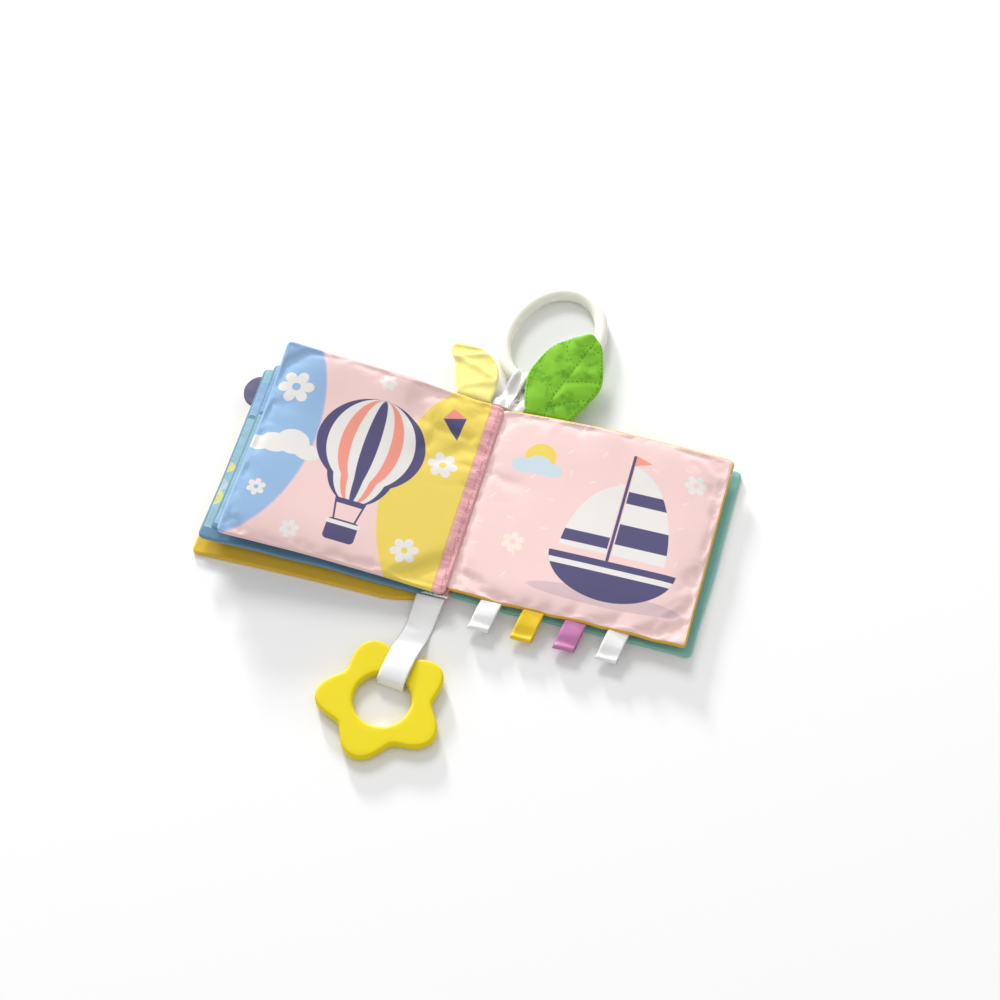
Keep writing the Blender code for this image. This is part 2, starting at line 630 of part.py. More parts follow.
    gap = Vector((0, FLAP_GAP, 0))
    green_edge = right_1.edge_seat(GREEN_ROOT_X - top_root, right_1.half_height)
    green_seat = Matrix.Translation(green_edge + gap)
    green_hinge = hinge("green_leaf_hinge", green_seat.translation, parent=right_hinge)
    green_shape = (GREEN_LENGTH, GREEN_HALF_WIDTH, GREEN_WIDTH_shares, GREEN_SHIFT_shares, GREEN_LEAN,
                   GREEN_RISE, GREEN_CAMBER)
    add_tab("green_leaf", "green", green_hinge, green_seat, green_shape, with_film=True)

    slope = Matrix.Rotation(left_3.slope, 4, "Y")
    pale_edge = left_3.edge_seat(-PALE_ROOT_X - top_root, left_3.half_height)
    pale_seat = Matrix.Translation(pale_edge + gap) @ slope
    pale_hinge = hinge("pale_tab_hinge", pale_seat.translation, slope, parent=hinge_3)
    pale_shape = (PALE_LENGTH, PALE_HALF_WIDTH, PALE_WIDTH_shares, PALE_SHIFT_shares, 0, PALE_RISE,
                  PALE_CAMBER)
    add_tab("pale_tab", "pale", pale_hinge, pale_seat, pale_shape, with_film=True)

    free_edge = left_1.edge_seat(left_1.length, ROUND_Y_share * left_1.half_height)
    round_slope = Matrix.Rotation(left_1.slope, 4, "Y")
    round_seat = Matrix.Translation(free_edge + round_slope @ Vector((-FLAP_GAP, 0, 0)))
    round_seat = round_seat @ round_slope @ Matrix.Rotation(math.radians(90), 4, "Z")
    round_hinge = hinge("round_tab_hinge", round_seat.translation, parent=hinge_1)
    add_tab("round_tab", "violet", round_hinge, round_seat, round_tab_shape(), with_film=False)

    for number, colour in enumerate(("ribbon", "tag_yellow", "mauve", "ribbon"), start=1):
        tag_x = TAG_FIRST_X + (number - 1) * TAG_SPACING
        seat = right_1.edge_seat(tag_x - top_root, -right_1.half_height) - gap
        tag_hinge = hinge(f"tag_{number}_hinge", seat, parent=right_hinge)
        add_piece(f"ribbon_tag_{number}", tag_mesh(), colour, tag_hinge,
                  Matrix.Translation(seat) @ Matrix.Rotation(TAG_DROOP, 4, "X"))


main()
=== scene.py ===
"""Looks of a crinkle cloth book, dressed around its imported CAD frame.

Everything is in metres, in the frame's own axes: the spine runs along Y and the table is at z = 0.
A printed page's UV map holds frame x and y as if the page lay flat, so print sizes are real sizes.
"""

import math

import bmesh
import bpy
import numpy as np
from bpy.props import FloatProperty, FloatVectorProperty, PointerProperty
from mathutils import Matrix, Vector, noise
from mathutils.bvhtree import BVHTree


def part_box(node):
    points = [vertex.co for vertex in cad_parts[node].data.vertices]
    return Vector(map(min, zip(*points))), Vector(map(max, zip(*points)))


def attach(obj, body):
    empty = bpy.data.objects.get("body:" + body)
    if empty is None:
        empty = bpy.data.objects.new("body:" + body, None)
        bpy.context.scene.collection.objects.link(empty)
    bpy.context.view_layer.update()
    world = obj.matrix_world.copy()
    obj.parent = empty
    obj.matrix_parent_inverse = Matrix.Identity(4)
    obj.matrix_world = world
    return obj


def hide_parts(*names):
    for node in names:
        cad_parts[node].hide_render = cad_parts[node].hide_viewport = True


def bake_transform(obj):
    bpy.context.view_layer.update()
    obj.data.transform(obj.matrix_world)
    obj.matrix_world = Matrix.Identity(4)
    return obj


bl_info = {
    "name": "Crinkle Cloth Book",
    "version": (1, 0, 0),
    "blender": (4, 5, 0),
    "location": "View3D > Sidebar > Cloth Book",
    "description": "Dresses the frame of a crinkle cloth book with cloth, print, ribbon and stitches",
    "category": "Object",
}

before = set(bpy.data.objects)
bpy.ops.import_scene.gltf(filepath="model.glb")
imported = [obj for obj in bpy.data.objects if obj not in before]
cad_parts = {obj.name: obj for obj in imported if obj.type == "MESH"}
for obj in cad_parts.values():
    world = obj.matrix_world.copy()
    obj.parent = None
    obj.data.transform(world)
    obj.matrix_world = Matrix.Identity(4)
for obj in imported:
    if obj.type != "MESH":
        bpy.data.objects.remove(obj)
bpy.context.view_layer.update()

FLAT_UV = "flat"
LAYERS = ("face_cloth", "back_cloth", "wadding", "film")
UP = np.array((0.0, 0.0, 1.0))
PRINT_EDGE = 0.00025


def linear(code):
    """A web colour code as linear red, green and blue."""
    parts = [int(code[i:i + 2], 16) / 255 for i in (0, 2, 4)]
    return tuple(p / 12.92 if p <= 0.04045 else ((p + 0.055) / 1.055) ** 2.4 for p in parts)


def length_property(name, description, default):
    return FloatProperty(name=name, description=description, default=default, min=0.0,
                         subtype="DISTANCE", unit="LENGTH", precision=5)


def colour_property(name, description, code):
    return FloatVectorProperty(name=name, description=description, default=linear(code), size=3,
                               subtype="COLOR", min=0.0, max=1.0)


class ClothBookSizes(bpy.types.PropertyGroup):
    """Sizes of the cloth, thread and ribbon that the frame leaves open."""

    cell: length_property("Mesh cell", "Spacing of a page's mesh", 0.0017)
    half_page: length_property("Half page height", "From the middle of a page to its head", 0.059)
    corner: length_property("Corner radius", "Rounding of a page's corners", 0.0035)
    taper: length_property("Cover taper", "Length over which a cover's overhang grows", 0.030)
    left_overhang: length_property("Left overhang", "How far the left cover stands out", 0.0055)
    right_inset: length_property("Right inset", "How far the right cover's sides stay inside", 0.0020)
    cover_taper_at_head: length_property("Left cover run-down", "How far its head runs down", 0.0125)
    leaf_taper_at_head: length_property("Lower leaf run-down", "How far a lower head runs down", 0.0095)
    head_lift: length_property("Head lift", "How far the open left page rises at its head", 0.005)
    foot_drop: length_property("Foot drop", "How far its free corner hangs down", 0.0022)
    full_at: length_property("Full at", "From the spine to where a page is fullest", 0.0625)
    draw_in: length_property("Edge draw-in", "How far a page's sides are drawn in", 0.0008)
    seam_round: length_property("Seam rounding", "Rounding of a page's sewn edge", 0.0013)
    seam_width: length_property("Seam width", "From a page's edge to where its filling starts", 0.0035)
    ramp: length_property("Edge ramp", "Over which a page's filling thins to its edge", 0.020)
    pucker: length_property("Pucker height", "Height of the small puckers along a seam", 0.00034)
    fold: length_property("Fold height", "Height of the folds that run out of the gutter", 0.00055)
    thread: length_property("Thread width", "Width of the sewing thread", 0.00045)
    weave: length_property("Weave pitch", "Distance between the threads of the cloth", 0.00042)
    satin: length_property("Ribbon thickness", "Thickness of one layer of ribbon", 0.00032)


class ClothBookColours(bpy.types.PropertyGroup):
    """Colours of the cloths, print, thread and plastic."""

    pink: colour_property("Pink", "Ground of the open pages", "f8d6d2")
    # Painted shade: a darker copy of the page pink, for the gutter's shade.
    gutter: colour_property("Gutter pink", "Strip along the gutter", "f4bcbc")
    blue: colour_property("Blue", "Blue field of the left page", "9bbfe4")
    yellow: colour_property("Yellow", "Yellow field of the left page", "f3d964")
    mustard: colour_property("Mustard", "Left cover", "e8be3c")
    underside: colour_property("Golden yellow", "Back of the right page", "e9b63f")
    teal: colour_property("Teal", "Right cover", "8ccabf")
    light_teal: colour_property("Light teal", "Lower left pages", "a5d0dc")
    # Painted shade: this slate blue stands in for the shaded front edges of the light teal lower leaves; it
    # also prints a thin line below the blue block.
    blue_shade_and_print: colour_property("Slate blue", "Edges of the lower left pages", "7299b3")
    slate: colour_property("Slate", "Dark print", "57527a")
    off_white: colour_property("Off-white", "Pale print", "efebe7")
    coral: colour_property("Coral", "Accent print", "f79d8b")
    shadow_pink: colour_property("Shadow pink", "Soft printed shadow", "dfc3c6")
    pale_dash: colour_property("Pale dash", "Small dashes of the right page", "fbeadb")
    sky: colour_property("Sky", "Printed clouds", "cfe0e8")
    satin: colour_property("White satin", "Ribbon", "fdfdfd")
    # Painted shade: a greyer copy of the white satin, so that the strap reads darker than the other ribbons.
    strap: colour_property("Strap grey", "Crumpled strap of the ring", "e7e6e4")
    tag_yellow: colour_property("Tag yellow", "Second tag", "f8d100")
    mauve: colour_property("Mauve", "Third tag", "cb7cb1")
    ivory: colour_property("Ivory", "Ring", "fffbee")
    teether: colour_property("Teether yellow", "Flower teether", "f0dc0c")
    green: colour_property("Green", "Cloth leaf", "8ed437")
    green_shade: colour_property("Green shade", "Folds of the cloth leaf", "5ba521")
    lavender: colour_property("Lavender", "Fine line round the blue field", "c6c3e2")
    green_thread: colour_property("Green thread", "Stitches of the cloth leaf", "3f8214")
    pale_yellow: colour_property("Pale yellow", "Tab at the head", "f7ed92")
    tab_shade: colour_property("Tab shade", "Deeper yellow of the tab", "f5e26a")
    violet: colour_property("Violet grey", "Round tab", "6f6a88")
    # This thread colour also paints the shade in the gutter's gathers.
    pink_thread: colour_property("Pink thread", "Gutter stitches", "dc8c9c")


def sizes():
    return bpy.context.scene.cloth_book_sizes


def ink(key):
    """A colour of the panel's list, by name."""
    return tuple(getattr(bpy.context.scene.cloth_book_colours, key))


class Wires:
    """Adds nodes to one tree. Inputs are numbers, tuples or sockets, and results are sockets."""

    def __init__(self, tree):
        self.tree = tree

    def feed(self, socket, value):
        if isinstance(value, bpy.types.NodeSocket):
            self.tree.links.new(value, socket)
        elif socket.type == "RGBA":
            socket.default_value = (*value[:3], 1.0)
        else:
            socket.default_value = value

    def node(self, kind, settings=None, inputs=None):
        made = self.tree.nodes.new(kind)
        for name, value in (settings or {}).items():
            setattr(made, name, value)
        for key, value in (inputs or {}).items():
            self.feed(made.inputs[key], value)
        return made.outputs

    def math(self, operation, *inputs, clamp=False):
        settings = {"operation": operation, "use_clamp": clamp}
        return self.node("ShaderNodeMath", settings, dict(enumerate(inputs)))[0]

    def vector(self, operation, *inputs):
        made = self.node("ShaderNodeVectorMath", {"operation": operation}, dict(enumerate(inputs)))
        return made["Value" if operation == "LENGTH" else "Vector"]

    def scale(self, vector, factor):
        return self.node("ShaderNodeVectorMath", {"operation": "SCALE"}, {0: vector, "Scale": factor})[0]

    def join(self, x, y, z=0.0):
        return self.node("ShaderNodeCombineXYZ", None, {0: x, 1: y, 2: z})[0]

    def split(self, vector):
        return self.node("ShaderNodeSeparateXYZ", None, {0: vector})[:2]

    def mix(self, factor, below, above, blend="MIX"):
        settings = {"data_type": "RGBA", "blend_type": blend}
        return self.node("ShaderNodeMix", settings, {0: factor, 6: below, 7: above})[2]

    def noise(self, vector, scale, detail=2.0, roughness=0.5):
        inputs = {"Vector": vector, "Scale": scale, "Detail": detail, "Roughness": roughness}
        return self.node("ShaderNodeTexNoise", None, inputs)["Fac"]

    def streaks(self, vector, stretch, detail):
        return self.noise(self.vector("MULTIPLY", vector, stretch), 1.0, detail)

    def ramp(self, value, low, high, to_low=0.0, to_high=1.0):
        inputs = {"Value": value, "From Min": low, "From Max": high, "To Min": to_low, "To Max": to_high}
        return self.node("ShaderNodeMapRange", {"clamp": True, "interpolation_type": "SMOOTHSTEP"}, inputs)[0]

    def mask(self, inside):
        """1 where a distance in metres is above 0, with a soft printed edge."""
        return self.math("MULTIPLY_ADD", inside, 1 / PRINT_EDGE, 0.5, clamp=True)

    def bump(self, strength, distance, height):
        return self.node("ShaderNodeBump", None, {"Strength": strength, "Distance": distance,
                                                  "Height": height})[0]

    def place(self):
        return self.node("ShaderNodeTexCoord")["Object"]

    def group(self, name, make, **inputs):
        """A node of a group by name, which is made the first time that it is asked for."""
        tree = bpy.data.node_groups.get(name) or make(name)
        values = {key.replace("_", " "): value for key, value in inputs.items()}
        return self.node("ShaderNodeGroup", {"node_tree": tree}, values)


def shader_group(name, settings, outputs):
    """An empty shader node group over a vector: its tree, its wires and the sockets at its two ends."""
    tree = bpy.data.node_groups.new(name, "ShaderNodeTree")
    for label, default in {"Vector": (0.0, 0.0, 0.0), **settings}.items():
        kind = "NodeSocketVector" if isinstance(default, tuple) else "NodeSocketFloat"
        tree.interface.new_socket(label, in_out="INPUT", socket_type=kind).default_value = default
    for label, kind in outputs.items():
        tree.interface.new_socket(label, in_out="OUTPUT", socket_type=kind)
    start = tree.nodes.new("NodeGroupInput")
    end = tree.nodes.new("NodeGroupOutput")
    return tree, Wires(tree), start.outputs, end.inputs


def disc_inside(w, local, start):
    """How far a print point lies inside an ellipse."""
    inside = w.math("SUBTRACT", 1.0, w.vector("LENGTH", w.vector("DIVIDE", local, start["Radii"])))
    return w.math("MULTIPLY", inside, w.math("MINIMUM", *w.split(start["Radii"])))


def bar_inside(w, local, start):
    """How far a print point lies inside a bar with rounded corners."""
    corner = w.vector("SUBTRACT", w.vector("ABSOLUTE", local), start["Half Size"])
    rounding = w.join(start["Round"], start["Round"])
    outside = w.vector("MAXIMUM", w.vector("ADD", corner, rounding), (0, 0, 0))
    return w.math("SUBTRACT", start["Round"], w.vector("LENGTH", outside))


def flower_inside(w, local, start):
    """How far a print point lies inside a six-petalled flower with an open centre."""
    across, up = w.split(local)
    angle = w.math("MULTIPLY", w.math("ARCTAN2", up, across), 3.0)
    lobe = w.math("POWER", w.math("ABSOLUTE", w.math("COSINE", angle)), 0.55)
    edge = w.math("MULTIPLY", w.math("MULTIPLY_ADD", lobe, 0.52, 0.48), start["Radius"])
    reach = w.vector("LENGTH", local)
    past_core = w.math("SUBTRACT", reach, w.math("MULTIPLY", start["Radius"], 0.24))
    return w.math("MINIMUM", w.math("SUBTRACT", edge, reach), past_core)


def pennant_inside(w, local, start):
    """How far a print point lies inside a triangle that hangs by its wide side."""
    across, up = w.split(local)
    share = w.math("ADD", w.math("DIVIDE", up, start["Drop"]), 1.0)
    side = w.math("SUBTRACT", w.math("MULTIPLY", share, start["Half Width"]), w.math("ABSOLUTE", across))
    return w.math("MINIMUM", side, w.math("MULTIPLY", up, -1.0))


MOTIFS = {
    "Disc": (disc_inside, {"Radii": (1.0, 1.0, 1.0)}),
    "Bar": (bar_inside, {"Half Size": (1.0, 1.0, 0.0), "Round": 0.0004}),
    "Flower": (flower_inside, {"Radius": 0.006}),
    "Pennant": (pennant_inside, {"Half Width": 0.004, "Drop": 0.008}),
}


def motif_group(kind):
    """Print mask of one of the motifs, moved to its centre and turned."""
    inside, settings = MOTIFS[kind]
    tree, w, start, end = shader_group(kind, {"Centre": (0.0, 0.0, 0.0), "Turn": 0.0, **settings},
                                       {"Mask": "NodeSocketFloat"})
    moved = w.vector("SUBTRACT", start["Vector"], start["Centre"])
    back = w.math("MULTIPLY", start["Turn"], -1.0)
    local = w.node("ShaderNodeVectorRotate", {"rotation_type": "Z_AXIS"}, {"Vector": moved, "Angle": back})[0]
    w.feed(end["Mask"], w.mask(inside(w, local, start)))
    return tree


def dashes_group(name):
    """Print mask of short dashes strewn one to a cell, each at its own place and turn."""
    tree, w, start, end = shader_group(name, {"Cell": 0.0165, "Length": 0.0019, "Width": 0.0006},
                                       {"Mask": "NodeSocketFloat"})
    cells = w.scale(start["Vector"], w.math("DIVIDE", 1.0, start["Cell"]))
    corner = w.vector("FLOOR", cells)
    random = w.node("ShaderNodeTexWhiteNoise", {"noise_dimensions": "3D"}, {"Vector": corner})
    shift = w.scale(w.vector("SUBTRACT", random["Color"], (0.5, 0.5, 0.5)), 0.5)
    middle = w.vector("ADD", w.vector("ADD", corner, (0.5, 0.5, 0.0)), shift)
    centre = w.scale(w.vector("MULTIPLY", middle, (1, 1, 0)), start["Cell"])
    turn = w.math("MULTIPLY_ADD", random["Value"], 2.2, -0.4)
    bar = w.group("Bar", motif_group, Vector=start["Vector"], Centre=centre, Round=start["Width"], Turn=turn,
                  Half_Size=w.join(start["Length"], start["Width"]))
    w.feed(end["Mask"], bar["Mask"])
    return tree


def weave_group(name):
    """Plain weave: a height for the bump, and a tone that varies softly over the cloth."""
    tree, w, start, end = shader_group(name, {"Pitch": 0.0004, "Unevenness": 0.06},
                                       {"Height": "NodeSocketFloat", "Tone": "NodeSocketColor"})
    across, up = w.split(w.scale(start["Vector"], w.math("DIVIDE", math.pi, start["Pitch"])))
    crossing = w.math("MULTIPLY", w.math("SINE", across), w.math("SINE", up))
    slub = w.streaks(start["Vector"], (900, 3600, 900), 2.0)
    w.feed(end["Height"], w.math("MULTIPLY_ADD", crossing, 0.5, slub))
    cloudy = w.math("SUBTRACT", w.noise(start["Vector"], 60.0, 4.0, 0.6), 0.5)
    speckle = w.math("SUBTRACT", w.noise(start["Vector"], 1500.0, 2.0), 0.5)
    uneven = w.math("ADD", cloudy, w.math("MULTIPLY", speckle, 0.7))
    tone = w.math("MULTIPLY_ADD", uneven, start["Unevenness"], 1.0)
    w.feed(end["Tone"], w.join(tone, tone, tone))
    return tree


def satin_group(name):
    """Satin: fine threads along the ribbon, and painted shade in soft grey clouds, as where it bends."""
    tree, w, start, end = shader_group(name, {"Clouds": 0.06},
                                       {"Height": "NodeSocketFloat", "Tone": "NodeSocketColor"})
    w.feed(end["Height"], w.streaks(start["Vector"], (300, 5200, 300), 2.0))
    # Painted shade: grey clouds from noise that darken the satin's tone.
    clouds = w.streaks(start["Vector"], (75, 45, 60), 1.0)
    tone = w.math("SUBTRACT", 1.0, w.math("MULTIPLY", w.ramp(clouds, 0.45, 0.7), start["Clouds"]))
    w.feed(end["Tone"], w.join(tone, tone, tone))
    return tree


class Print:
    """Lays motifs over a ground colour, one above the other."""

    def __init__(self, wires, vector, ground):
        self.w, self.vector, self.colour = wires, vector, ink(ground)

    def lay(self, key, mask, *more):
        """Prints a colour where every mask lets it through."""
        for other in more:
            mask = self.w.math("MULTIPLY", mask, other)
        self.colour = self.w.mix(mask, self.colour, ink(key))

    def motif(self, kind, centre, turn, **settings):
        return self.w.group(kind, motif_group, Vector=self.vector, Centre=(*centre, 0), Turn=turn,
                            **settings)["Mask"]

    def disc(self, centre, radii, turn=0.0):
        return self.motif("Disc", centre, turn, Radii=(*radii, 1))

    def bar(self, centre, half, turn=0.0, rounding=0.0004):
        return self.motif("Bar", centre, turn, Half_Size=(*half, 0), Round=rounding)

    def pennant(self, centre, half_width, drop, turn):
        return self.motif("Pennant", centre, turn, Half_Width=half_width, Drop=drop)

    def discs(self, key, *spots):
        for x, y, across, up in spots:
            self.lay(key, self.disc((x, y), (across, up)))

    def flowers(self, key, *spots):
        for x, y, radius, turn in spots:
            self.lay(key, self.motif("Flower", (x, y), turn, Radius=radius))

    def side(self, axis, limit, sign):
        """Mask of the half of the page beyond a limit: +1 above it and -1 below it."""
        past = self.w.math("SUBTRACT", self.w.split(self.vector)[axis], limit)
        return self.w.mask(self.w.math("MULTIPLY", past, float(sign)))


def left_page_print(w, vector):
    """Blue, pink and yellow fields with a striped hot-air balloon, a kite, clouds and white flowers."""
    p = Print(w, vector, "pink")
    field, reach, outline = (-0.129, 0.008), (0.040, 0.069), (0.0407, 0.0702)
    p.lay("lavender", p.disc(field, outline))
    p.lay("blue", p.disc(field, reach))
    p.lay("yellow", p.disc((0.0053, -0.003), (0.053, 0.078)))
    p.flowers("off_white", (-0.1075, 0.0330, 0.0095, 0.2), (-0.1085, -0.0300, 0.0050, 0.5),
              (-0.0215, 0.0130, 0.0080, 0.0), (-0.0260, -0.0420, 0.0074, 0.3),
              (-0.0620, 0.0500, 0.0048, 0.1), (-0.0850, -0.0480, 0.0052, 0.4))
    p.discs("off_white", (-0.1080, -0.0020, 0.0080, 0.0058), (-0.0990, 0.0010, 0.0088, 0.0074),
            (-0.1160, -0.0040, 0.0066, 0.0044), (-0.0900, -0.0030, 0.0070, 0.0046))
    balloon = -0.0600
    for x, lean in ((-0.0068, 0.17), (0.0068, -0.17)):
        p.lay("slate", p.bar((balloon + x, -0.0285), (0.0005, 0.0090), lean))
    stripes = ((1.0, "slate"), (0.80, "off_white"), (0.56, "coral"), (0.34, "off_white"), (0.14, "slate"))
    for share, key in stripes:
        p.discs(key, (balloon, 0.0120, 0.0285 * share, 0.0270), (balloon, -0.0020, 0.0180 * share, 0.0235))
    p.lay("slate", p.bar((balloon, -0.0245), (0.0072, 0.0016)))
    p.lay("slate", p.bar((balloon, -0.0415), (0.0082, 0.0062), 0.0, 0.0024))
    p.lay("off_white", p.bar((balloon, -0.0375), (0.0088, 0.0012)))
    kite, turn = (-0.0230, 0.0420), 0.35
    p.lay("slate", p.pennant(kite, 0.0062, 0.0130, turn))
    p.lay("coral", p.pennant(kite, 0.0062, 0.0060, turn + math.pi))
    # Painted shade: the strip by the gutter is the page's pink made darker, with darker pink streaks as shade
    # in its gathers.
    strip = p.side(0, -0.0066, 1)
    p.lay("gutter", strip)
    gather_shade = w.ramp(w.streaks(vector, (130, 720, 0), 2.0), 0.42, 0.62)
    p.lay("pink_thread", strip, gather_shade, 0.45)
    return p.colour


def right_page_print(w, vector):
    """Pink ground strewn with pale dashes, a sailing boat, and a sun behind a cloud."""
    p = Print(w, vector, "pink")
    p.lay("pale_dash", w.group("Dashes", dashes_group, Vector=vector)["Mask"], 0.6)
    p.lay("shadow_pink", p.disc((0.0790, -0.0405), (0.0400, 0.0046), 0.02))
    hull = p.disc((0.0780, -0.0180), (0.0330, 0.0240)), p.side(1, -0.0190, -1)
    p.lay("slate", *hull)
    p.lay("off_white", *hull, p.bar((0.0780, -0.0245), (0.04, 0.0016)))
    mast, gap = 0.0750, 0.0015
    above_boom = p.side(1, -0.0150, 1)
    mainsail = p.disc((mast - 0.0020, -0.0160), (0.0310, 0.0560)), p.side(0, mast + gap, 1), above_boom
    jib = p.disc((mast + 0.0010, -0.0160), (0.0270, 0.0430)), p.side(0, mast - gap, -1), above_boom
    p.lay("off_white", *mainsail)
    p.lay("off_white", *jib)
    for sail, y, half in ((mainsail, -0.0020, 0.0062), (mainsail, 0.0205, 0.0036), (jib, -0.0085, 0.0034)):
        p.lay("slate", *sail, p.bar((mast, y), (0.040, half)))
    p.lay("slate", p.bar((mast, 0.0135), (0.0008, 0.0325)))
    p.lay("coral", p.pennant((mast + 0.0008, 0.0430), 0.0032, 0.0090, math.pi / 2))
    p.discs("yellow", (0.0270, 0.0330, 0.0082, 0.0082))
    p.discs("sky", (0.0195, 0.0265, 0.0062, 0.0048), (0.0270, 0.0280, 0.0072, 0.0058),
            (0.0345, 0.0262, 0.0058, 0.0042))
    p.flowers("off_white", (0.1090, 0.0370, 0.0062, 0.2))
    p.flowers("pale_dash", (0.0260, -0.0200, 0.0060, 0.5))
    return p.colour


def lower_page_print(w, vector):
    """Light teal ground with blue and yellow blocks and white flowers."""
    p = Print(w, vector, "light_teal")
    # Painted shade: a slate-blue band along the foot, where the lower page's front edge lies in shade.
    p.lay("blue_shade_and_print", p.side(1, -0.0525, -1))
    p.lay("blue", p.bar((-0.128, 0.0300), (0.012, 0.0105)))
    p.lay("blue_shade_and_print", p.bar((-0.128, 0.0175), (0.012, 0.0011)))
    p.discs("pale_yellow", (-0.1275, -0.0150, 0.0050, 0.0032), (-0.1290, -0.0340, 0.0060, 0.0055))
    p.discs("sky", (-0.1290, -0.0260, 0.0060, 0.0040), (-0.060, 0.0, 0.036, 0.036))
    p.flowers("off_white", (-0.085, 0.038, 0.007, 0.3), (-0.030, 0.030, 0.006, 0.3),
              (-0.060, 0.0, 0.014, 0.3), (-0.036, -0.038, 0.008, 0.3), (-0.094, -0.036, 0.006, 0.3))
    return p.colour


def plain_ground(key):
    """A paint function for cloth of one colour."""
    return lambda w, vector: ink(key)


def dotted_ground(key, dot):
    """A paint function for cloth of one colour with small round dots, which stay off its ends."""
    def paint(w, vector):
        p = Print(w, vector, key)
        spacing, end = 0.011, 0.052
        local = w.vector("SUBTRACT", w.vector("FRACTION", w.scale(vector, 1 / spacing)), (0.5, 0.5, 0.0))
        reach = w.vector("LENGTH", w.vector("MULTIPLY", local, (1, 1, 0)))
        p.lay(dot, w.ramp(reach, 0.17, 0.14), p.side(1, -end, 1), p.side(1, end, -1))
        return p.colour
    return paint


def fold_shaded_ground(key, shade):
    """A paint function for cloth of one colour with painted shade in darker patches, as in its folds."""
    def paint(w, vector):
        # Painted shade: noise patches that darken the cloth the way shade in folds would.
        fold_shade = w.ramp(w.noise(vector, 110.0, 3.0, 0.55), 0.48, 0.66)
        return w.mix(w.math("MULTIPLY", fold_shade, 0.75), ink(key), ink(shade))
    return paint


def principled(name, settings):
    """A new material, its wires and its shader's inputs, with the constants set on the shader."""
    material = bpy.data.materials.new(name)
    material.use_nodes = True
    shader = material.node_tree.nodes["Principled BSDF"].inputs
    for label, value in settings.items():
        shader[label].default_value = value
    return material, Wires(material.node_tree), shader


def flat_vector(w):
    return w.node("ShaderNodeUVMap", {"uv_map": FLAT_UV})[0]


def cloth_material(name, paint, unevenness=0.06, roughness=0.82, sheen=0.15):
    """Woven cloth with a print, a plain weave in its bump, and a light nap."""
    material, w, shader = principled(name, {
        "Roughness": roughness, "Sheen Weight": sheen, "Sheen Roughness": 0.5, "Specular IOR Level": 0.25})
    vector = flat_vector(w)
    weave = w.group("Weave", weave_group, Vector=vector, Pitch=sizes().weave, Unevenness=unevenness)
    w.feed(shader["Base Color"], w.mix(1.0, paint(w, vector), weave["Tone"], "MULTIPLY"))
    w.feed(shader["Normal"], w.bump(0.35, 0.0001, weave["Height"]))
    return material


def satin_material(name, key, clouds):
    """Satin ribbon: smooth, bright, with fine threads along its length and grey clouds of painted shade."""
    material, w, shader = principled(name, {"Roughness": 0.42, "Sheen Weight": 0.2, "Anisotropic": 0.4})
    satin = w.group("Satin", satin_group, Vector=flat_vector(w), Clouds=clouds)
    w.feed(shader["Base Color"], w.mix(1.0, ink(key), satin["Tone"], "MULTIPLY"))
    w.feed(shader["Normal"], w.bump(0.25, 0.0001, satin["Height"]))
    return material


def thread_material(name, key):
    """Sewing thread with its twist."""
    material, w, shader = principled(name, {"Roughness": 0.6, "Sheen Weight": 0.2})
    tone = w.ramp(w.streaks(w.place(), (2600, 2600, 2600), 1.0), 0.3, 0.7, 0.82, 1.05)
    w.feed(shader["Base Color"], w.mix(1.0, ink(key), w.join(tone, tone, tone), "MULTIPLY"))
    return material


def plastic_material(name, key, roughness, milky, wear_scale):
    """Moulded plastic: a faint flow in its colour and a skin that is not quite even."""
    material, w, shader = principled(name, {
        "Specular IOR Level": 0.3, "Subsurface Weight": milky, "Subsurface Scale": 0.5,
        "Subsurface Radius": (0.004, 0.003, 0.001)})
    place = w.place()
    flow = w.noise(place, wear_scale, 3.0)
    tone = w.ramp(flow, 0.3, 0.7, 0.985, 1.015)
    w.feed(shader["Base Color"], w.mix(1.0, ink(key), w.join(tone, tone, tone), "MULTIPLY"))
    w.feed(shader["Roughness"], w.ramp(flow, 0.3, 0.7, roughness * 0.9, roughness * 1.15))
    w.feed(shader["Normal"], w.bump(0.08, 0.0002, w.noise(place, 900.0, 2.0)))
    return material


def cad_points(*nodes):
    """The vertices of CAD nodes, as rows of x, y and z."""
    return np.concatenate([np.array([v.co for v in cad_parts[node].data.vertices]) for node in nodes])


def mid(values):
    """Halfway between the least and the greatest value."""
    return (values.min() + values.max()) / 2


def ripple(points, size, seed):
    """Smooth noise from -1 to 1 at points in metres, for features of about that size."""
    scaled = np.asarray(points, float) / size + seed * 7.31
    flat = scaled.reshape(-1, scaled.shape[-1])
    if flat.shape[1] == 2:
        flat = np.column_stack([flat, np.full(len(flat), seed * 1.7)])
    values = np.array([noise.noise(row) for row in flat])
    return values.reshape(scaled.shape[:-1])


def new_piece(name, mesh, materials, body=None):
    """An object at the origin, smooth shaded, that rides on its body."""
    for material in materials:
        mesh.materials.append(material)
    mesh.shade_smooth()
    piece = bpy.data.objects.new(name, mesh)
    bpy.context.scene.collection.objects.link(piece)
    if body:
        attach(piece, body)
    return piece


def outward(mesh):
    """Turns every face of a closed mesh outwards."""
    shell = bmesh.new()
    shell.from_mesh(mesh)
    bmesh.ops.recalc_face_normals(shell, faces=shell.faces)
    shell.to_mesh(mesh)
    shell.free()


